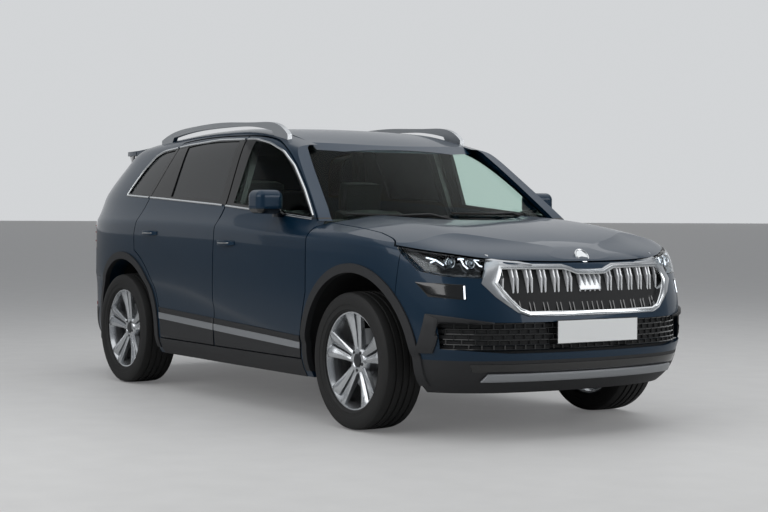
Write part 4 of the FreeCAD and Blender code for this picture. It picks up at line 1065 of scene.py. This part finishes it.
# %% Projectors and light guides
def projector_at(name, y, z, depth, radius):
    """A round projector: a metallised ring with a domed lens."""
    dome = [(0.016 * math.cos(a), radius * 0.74 * math.sin(a)) for a in [i * math.pi / 16 for i in range(9)]]
    domed = [(p, max(q, 0.0004)) for p, q in dome] + [(-0.006, radius * 0.72), (-0.006, 0.0004)]
    eye = spun(name + "_eye", domed, 40)
    ring = spun(name + "_ring", [(-0.010, radius * 0.78), (0.006, radius * 0.86), (0.010, radius),
                                 (0.004, radius * 1.06), (-0.012, radius)], 40)
    for piece in (eye, ring):
        piece.data.transform(Matrix.Rotation(math.radians(-90), 4, "Z"))
        piece.data.transform(Matrix.Translation((over_nose(y, z) - depth, y, z)))
    hand_over(eye, "body", bowl)
    hand_over(ring, "body", chrome)


GUIDES = [[(0.800, 0.905), (0.770, 0.893), (0.748, 0.868)], [(0.792, 0.880), (0.770, 0.893)],
          [(0.668, 0.902), (0.668, 0.868), (0.655, 0.852)], [(0.655, 0.898), (0.682, 0.898)],
          [(0.588, 0.894), (0.612, 0.894), (0.600, 0.866), (0.588, 0.862)],
          [(0.548, 0.890), (0.566, 0.876), (0.548, 0.866)]]
lenses = []
for side, sign in SIDES:
    lenses.append(headlamp(side, sign))
    projector_at(f"{side}_main_beam", sign * 0.712, 0.880, 0.040, 0.026)
    projector_at(f"{side}_dipped_beam", sign * 0.630, 0.876, 0.036, 0.024)
    runs = [[(over_nose(sign * y, z, -0.018), sign * y, z) for y, z in run] for run in GUIDES]
    hand_over(bars(f"{side}_light_guides", runs, 0.0036, 2), "body", light_guide)
    hand_over(end_patch(f"{side}_lower_lamp", ((sign * 0.695, 0.702), (sign * 0.820, 0.715)),
                        ((sign * 0.690, 0.775), (sign * 0.850, 0.786)), 8, over_nose, 0.001, 0.004), "body",
              gloss_black)
    runs = [[(over_nose(sign * 0.702, 0.706, 0.004), sign * 0.702, 0.706),
             (over_nose(sign * 0.697, 0.770, 0.004), sign * 0.697, 0.770)]]
    hand_over(bars(f"{side}_lower_lamp_bar", runs, 0.0042, 2), "body", light_guide)
for piece in lenses:
    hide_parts("headlamps")
print("light guides a side:", len(GUIDES))

# %% [markdown]
# ## Door handles and mirrors
# Each handle is a painted bar that bows out from the door, with a bright insert along its face. The foot of
# each mirror is dark, and its rear face holds the glass.

# %% Door handles
HANDLE_LONG, HANDLE_TALL, HANDLE_STAND = 0.205, 0.030, 0.026


def handle(side, sign, end, x, z):
    skin = skin_y(x, z, f"left_{end}_door")
    tip = skin_y(x + 0.09, z, f"left_{end}_door")
    tail = skin_y(x - 0.09, z, f"left_{end}_door")
    lean = (tip - tail) / 0.18
    for label, long, tall, thick, stand, material, slot in (
            ("handle", HANDLE_LONG, HANDLE_TALL, 0.013, HANDLE_STAND, paint, "paint"),
            ("handle_insert", HANDLE_LONG * 0.86, 0.008, 0.004, HANDLE_STAND + 0.0068, chrome, "rail")):
        piece = block(f"{side}_{end}_{label}", 11)
        for vertex in piece.data.vertices:
            u = vertex.co.x * 2
            arch = stand * (1 - 0.9 * abs(u) ** 4)
            round_end = (1 - 0.45 * abs(u) ** 6)
            vertex.co = (x + u * long / 2,
                         sign * (skin + lean * u * long / 2 + arch - thick / 2 + vertex.co.y * thick * sign),
                         z + vertex.co.z * tall * round_end)
        outwards(piece)
        bevelled(piece, min(0.003, thick / 4), 2)
        smooth_by(piece, 40)
        hand_over(piece, f"{side}_{end}_door", material)


for side, sign in SIDES:
    handle(side, sign, "front", 0.152, 0.947)
    handle(side, sign, "rear", -0.880, 0.992)
print("handle length:", HANDLE_LONG)

# %% [markdown]
# ## Mirrors
# The shell belongs to the frame. Its dark foot and its glass are patches of its own skin, so that they fit
# it exactly, and each rides with its door.


# %% Mirrors
def mirror_trims():
    low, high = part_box("left_mirror")
    split = low[2] + 0.30 * (high[2] - low[2])
    foot = skin_patch("left_mirror_foot", "left_mirror", [(Vector((0, 0, split)), Vector((0, 0, 1)))],
                      (0, 0, -1), 0.0018, -2.0)
    face = [(Vector((0, low[1] + 0.062, 0)), Vector((0, -1, 0))), (Vector((0, high[1] - 0.012, 0)), Vector((0, 1, 0))),
            (Vector((0, 0, split + 0.004)), Vector((0, 0, -1)))]
    glass = skin_patch("left_mirror_glass", "left_mirror", face, (-1, 0, 0), 0.0018, 0.72)
    for left, material, slot in ((foot, gloss_black, "dark_trim"), (glass, chrome, "clear_glass")):
        hand_over_pair(left, "left_front_door", material)


mirror_trims()

# %% [markdown]
# ## Wipers
# Two arms rest at the foot of the windscreen, each with a thin rubber blade, and one sweeps the rear glass.


# %% Wipers
def on_screen(y, z, lift):
    hit, point, _, _ = NODES["windscreen"].ray_cast(Vector((RAY_START, y, z)), Vector((-1, 0, 0)))
    return tuple(point + Vector((0.35, 0, 0.94)) * lift) if hit else None


def wiper(name, blade_ends, pivot):
    (y0, z0), (y1, z1) = blade_ends
    blade_run = [p for p in (on_screen(y, z, 0.012) for y, z in spread((y0, z0), (y1, z1), 14)) if p]
    middle = blade_run[len(blade_run) // 2]
    root = on_screen(*pivot, 0.010)
    arm = bars(name + "_arm", [[root, tuple((Vector(root) + Vector(middle)) / 2 + Vector((0.01, 0, 0.022))),
                                middle]], 0.0065, 2)
    rubber_run = bars(name + "_blade", [blade_run], 0.0062, 2)
    hand_over(arm, "body", grained)
    hand_over(rubber_run, "body", rubber)


wiper("right_wiper", ((-0.66, 1.105), (-0.06, 1.092)), (-0.02, 1.072))
wiper("left_wiper", ((-0.02, 1.112), (0.56, 1.108)), (0.60, 1.078))
print("foot of the windscreen:", tuple(round(c, 4) for c in on_screen(0.0, 1.1, 0.0)))

# %% [markdown]
# ## Tail
# The foot of the rear bumper is dark plastic with a silver bar. The tailgate carries a blank plate, a
# bright strip and a wiper, and three red bars stand proud of each tail lamp.


# %% Rear bumper and tailgate
def tail_run(points, lift):
    return [(over_tail(y, z, lift), y, z) for y, z in points]


hand_over(end_patch("rear_bumper_foot", ((-0.80, 0.262), (0.80, 0.262)), ((-0.83, 0.470), (0.83, 0.470)), 40,
                    over_tail, 0.0015, 0.005, rows=8), "body", grained)
hand_over(end_patch("rear_silver_bar", ((-0.56, 0.318), (0.56, 0.318)), ((-0.60, 0.362), (0.60, 0.362)), 30,
                    over_tail, 0.006, 0.010, bevel=0.003), "body", silver_plastic)
for side, sign in SIDES:
    hand_over(end_patch(f"{side}_rear_reflector", ((sign * 0.60, 0.478), (sign * 0.80, 0.482)),
                        ((sign * 0.60, 0.500), (sign * 0.80, 0.505)), 10, over_tail, 0.003, 0.006), "body",
              red_lens)
    hand_over(end_patch(f"{side}_exhaust_trim", ((sign * 0.50, 0.276), (sign * 0.70, 0.276)),
                        ((sign * 0.52, 0.306), (sign * 0.71, 0.306)), 10, over_tail, 0.005, 0.010,
                        bevel=0.003), "body", chrome)
    runs = [tail_run(spread((sign * 0.64, z), (sign * 0.80, z), 8), 0.003) for z in (0.925, 0.985, 1.030)]
    hand_over(bars(f"{side}_tail_light_bars", runs, 0.0045, 2), "body", red_lens)
hand_over(end_patch("tailgate_bright_strip", ((-0.40, 0.893), (0.40, 0.893)), ((-0.40, 0.915), (0.40, 0.915)),
                    16, over_tail, 0.004, 0.008, bevel=0.003), "tailgate", chrome)
blank_plate("rear_plate", lambda y, z: max(over_tail(y, z), CAD_REAR + 0.011), 0.815, "tailgate", -1)
rear_arm = bars("rear_wiper", [tail_run([(0.0, 1.085), (-0.16, 1.105), (-0.34, 1.135)], 0.012)], 0.007, 2)
hand_over(rear_arm, "tailgate", grained)
hand_over(end_patch("high_stop_lamp", ((-0.17, 1.488), (0.17, 1.488)), ((-0.17, 1.502), (0.17, 1.502)), 8,
                    over_tail, 0.004, 0.006), "tailgate", red_lens)
print("tail at bumper height:", round(over_tail(0, 0.6), 4))

# %% [markdown]
# ## Spoiler cheeks
# The spoiler stands out past the rear glass. A small black blade at each end carries it down to the frame
# of the glass, and follows the tailgate by rays.


# %% Spoiler cheeks
def spoiler_cheek(name, sign):
    """The blade that joins each end of the roof spoiler to the frame of the rear glass."""
    verts, faces, width = [], [], len(CHEEK_SECTION)
    for y in CHEEK_AT:
        edge = skin_x(y * sign, CHEEK_TOP, ("tailgate",), -1)
        foot_x = skin_x(y * sign, CHEEK_FOOT, ("tailgate",), -1)
        if edge is None or foot_x is None:
            continue
        for share, forward, z in CHEEK_SECTION:
            verts.append((edge + (foot_x - edge) * share + forward, y * sign, z))
    count = len(verts) // width
    for i in range(count - 1):
        for k in range(width):
            a, b = i * width + k, i * width + (k + 1) % width
            faces.append((a, b, b + width, a + width))
    faces += [tuple(range(width)), tuple(reversed(range(len(verts) - width, len(verts))))]
    piece = from_points(name, verts, faces)
    outwards(piece)
    bevelled(piece, 0.003, 2)
    smooth_by(piece, 35)
    return piece


CHEEK_TOP, CHEEK_FOOT = 1.540, 1.430
CHEEK_AT = (0.44, 0.47, 0.50, 0.53, 0.55)
CHEEK_SECTION = ((0.0, 0.004, 1.528), (0.35, 0.000, 1.490), (0.95, 0.000, 1.432), (1.0, 0.015, 1.432),
                 (0.6, 0.045, 1.528))
for side, sign in SIDES:
    hand_over(spoiler_cheek(f"{side}_spoiler_cheek", sign), "tailgate", gloss_black)
print("stations a cheek:", len(CHEEK_AT))

# %% [markdown]
# ## Seats
# Each seat is sewn from a cushion, a back and a head restraint over foam. A block of foam is drawn as a
# crowned form whose sides pull in between its corners, with a sewn channel beside each bolster.


# %% Seats
def foam(name, size, place, tilt, crown=0.16, bolster=0.0):
    """A crowned block of foam: size is (long, wide, thick), turned by tilt about the vehicle's width."""
    piece = block(name, 9)
    long, wide, thick = size
    for vertex in piece.data.vertices:
        u, v, w = (2 * c for c in vertex.co)
        swell = (1 - u * u) * (1 - v * v)
        waist = 1 - 0.05 * (1 - abs(u)) * (1 - abs(w)) - 0.05 * u * u * v * v
        wing = bolster * max(0.0, (abs(v) - 0.62) / 0.38) * (0.5 + 0.5 * w)
        channel = -0.010 * math.exp(-((abs(v) - 0.60) / 0.05) ** 2) * max(0.0, w)
        vertex.co = (u * long / 2 * waist, v * wide / 2 * waist,
                     w * thick / 2 * (1 + crown * swell) + wing + channel)
    applied(piece, "BEVEL", width=min(size) * 0.22, segments=4, angle_limit=math.radians(50))
    piece.data.transform(Matrix.Rotation(math.radians(tilt), 4, "Y"))
    piece.data.transform(Matrix.Translation(place))
    outwards(piece)
    smooth_by(piece, 60)
    return piece


def pads(seat, node, parts):
    for label, size, place, tilt, bolster in parts:
        piece = foam(f"{seat}_{label}", size, place, tilt, bolster=bolster)
        hand_over(piece, "body", cloth)
    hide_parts(node)


def front_seat(side, sign):
    low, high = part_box(f"{side}_front_seat")
    y, x0 = (low[1] + high[1]) / 2, low[0]
    pads(f"{side}_front_seat", f"{side}_front_seat", (
        ("cushion", (0.52, 0.51, 0.15), (x0 + 0.46, y, 0.515), -6, 0.035),
        ("base", (0.46, 0.44, 0.14), (x0 + 0.44, y, 0.375), 0, 0.0),
        ("back", (0.62, 0.50, 0.13), (x0 + 0.165, y, 0.83), -76, 0.035),
        ("head_restraint", (0.19, 0.27, 0.10), (x0 + 0.060, y, 1.225), -80, 0.0)))
    posts = [[(x0 + 0.075, y + dy, 1.10), (x0 + 0.062, y + dy, 1.20)] for dy in (-0.06, 0.06)]
    hand_over(bars(f"{side}_head_restraint_posts", posts, 0.006, 2), "body", chrome)


for side, sign in SIDES:
    front_seat(side, sign)
low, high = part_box("rear_seat")
bench = [("bench", (0.50, 1.07, 0.15), (low[0] + 0.44, 0, 0.505), -5, 0.0),
         ("bench_base", (0.42, 1.00, 0.14), (low[0] + 0.44, 0, 0.370), 0, 0.0)]
for label, y in (("left", 0.36), ("middle", 0.0), ("right", -0.36)):
    bench.append((f"{label}_back", (0.62, 0.35, 0.12), (low[0] + 0.155, y, 0.83), -76, 0.0))
    bench.append((f"{label}_head_restraint", (0.15, 0.24, 0.09), (low[0] + 0.065, y, 1.20), -80, 0.0))
pads("rear_seat", "rear_seat", bench)

# %% [markdown]
# ## Floor, backdrop and light
# A pale floor, a paler wall far behind, and large soft lamps overhead, in front and at the right side.


# %% Floor and backdrop
def stage_plane(name, corners, material):
    piece = from_points(name, corners, [(0, 1, 2, 3)])
    piece.data.materials.append(material)


FLOOR_LIFT = 0.32
FLOOR_REACH, WALL_AWAY, WALL_HIGH = 400, 200, 160
WALL_TONE = "#d2d4d6"
concrete = patterned(new_material("Pale_polished_concrete", "#bdbdbc", 0.0, 0.55,
                                  Emission_Color=colour("#9c9c9d")),
                     220, 0.02, "#b6b6b5", "#c3c3c2", 5.0)
ray = add(concrete, "ShaderNodeLightPath")
glow = add(concrete, "ShaderNodeMath", {"operation": "MULTIPLY"}, _0=(ray, "Is Camera Ray"))
glow.inputs[1].default_value = FLOOR_LIFT
concrete.node_tree.links.new(glow.outputs[0], shader_of(concrete).inputs["Emission Strength"])
wall_paint = new_material("Pale_wall_paint", "#101010", 0.0, 0.9, Emission_Color=colour(WALL_TONE))
ray = add(wall_paint, "ShaderNodeLightPath")
seen = add(wall_paint, "ShaderNodeMath", {"operation": "MAXIMUM"}, _0=(ray, "Is Camera Ray"),
           _1=(ray, "Is Glossy Ray"))
seen = add(wall_paint, "ShaderNodeMath", {"operation": "MAXIMUM"}, _0=(seen, 0),
           _1=(ray, "Is Transmission Ray"))
wall_paint.node_tree.links.new(seen.outputs[0], shader_of(wall_paint).inputs["Emission Strength"])
stage_plane("floor", [(x * FLOOR_REACH, y * FLOOR_REACH, 0) for x, y in ((-1, -1), (1, -1), (1, 1), (-1, 1))],
            concrete)
away = Vector((math.cos(math.radians(HEADING)), math.sin(math.radians(HEADING)), 0))
across = Vector((-away.y, away.x, 0))
left_foot, right_foot = (away * WALL_AWAY + across * FLOOR_REACH * way for way in (-1, 1))
up = Vector((0, 0, WALL_HIGH))
stage_plane("backdrop", [left_foot, right_foot, right_foot + up, left_foot + up], wall_paint)
print("the wall stands", WALL_AWAY, "m away")

# %% [markdown]
# ## Lamps
# Large area lamps give soft edges to the shadows and long calm highlights on the paint, as a photographer's
# soft boxes do.


# %% Lamps and world
def soft_lamp(name, place, target, width, height, power):
    data = bpy.data.lights.new(name, "AREA")
    data.shape, data.size, data.size_y, data.energy = "RECTANGLE", width, height, power
    lamp = placed(name, data)
    lamp.location = place
    lamp.rotation_euler = (Vector(target) - Vector(place)).to_track_quat("-Z", "Y").to_euler()


soft_lamp("Overhead", (0.5, 0, 6.0), (0, 0, 0), 14.0, 9.0, 380)
soft_lamp("Front_left", (7.5, 3.5, 3.2), (1.5, 0, 0.7), 6.0, 3.5, 165)
soft_lamp("Right_side", (1.0, -7.5, 3.4), (0, 0, 0.7), 9.0, 3.0, 200)
world = bpy.data.worlds.new("Studio")
world.use_nodes = True
world.node_tree.nodes["Background"].inputs["Color"].default_value = (0.75, 0.78, 0.82, 1)
world.node_tree.nodes["Background"].inputs["Strength"].default_value = 0.32
bpy.context.scene.world = world
bpy.context.scene.view_settings.view_transform = "Standard"
print("lamps:", len(bpy.data.lights))
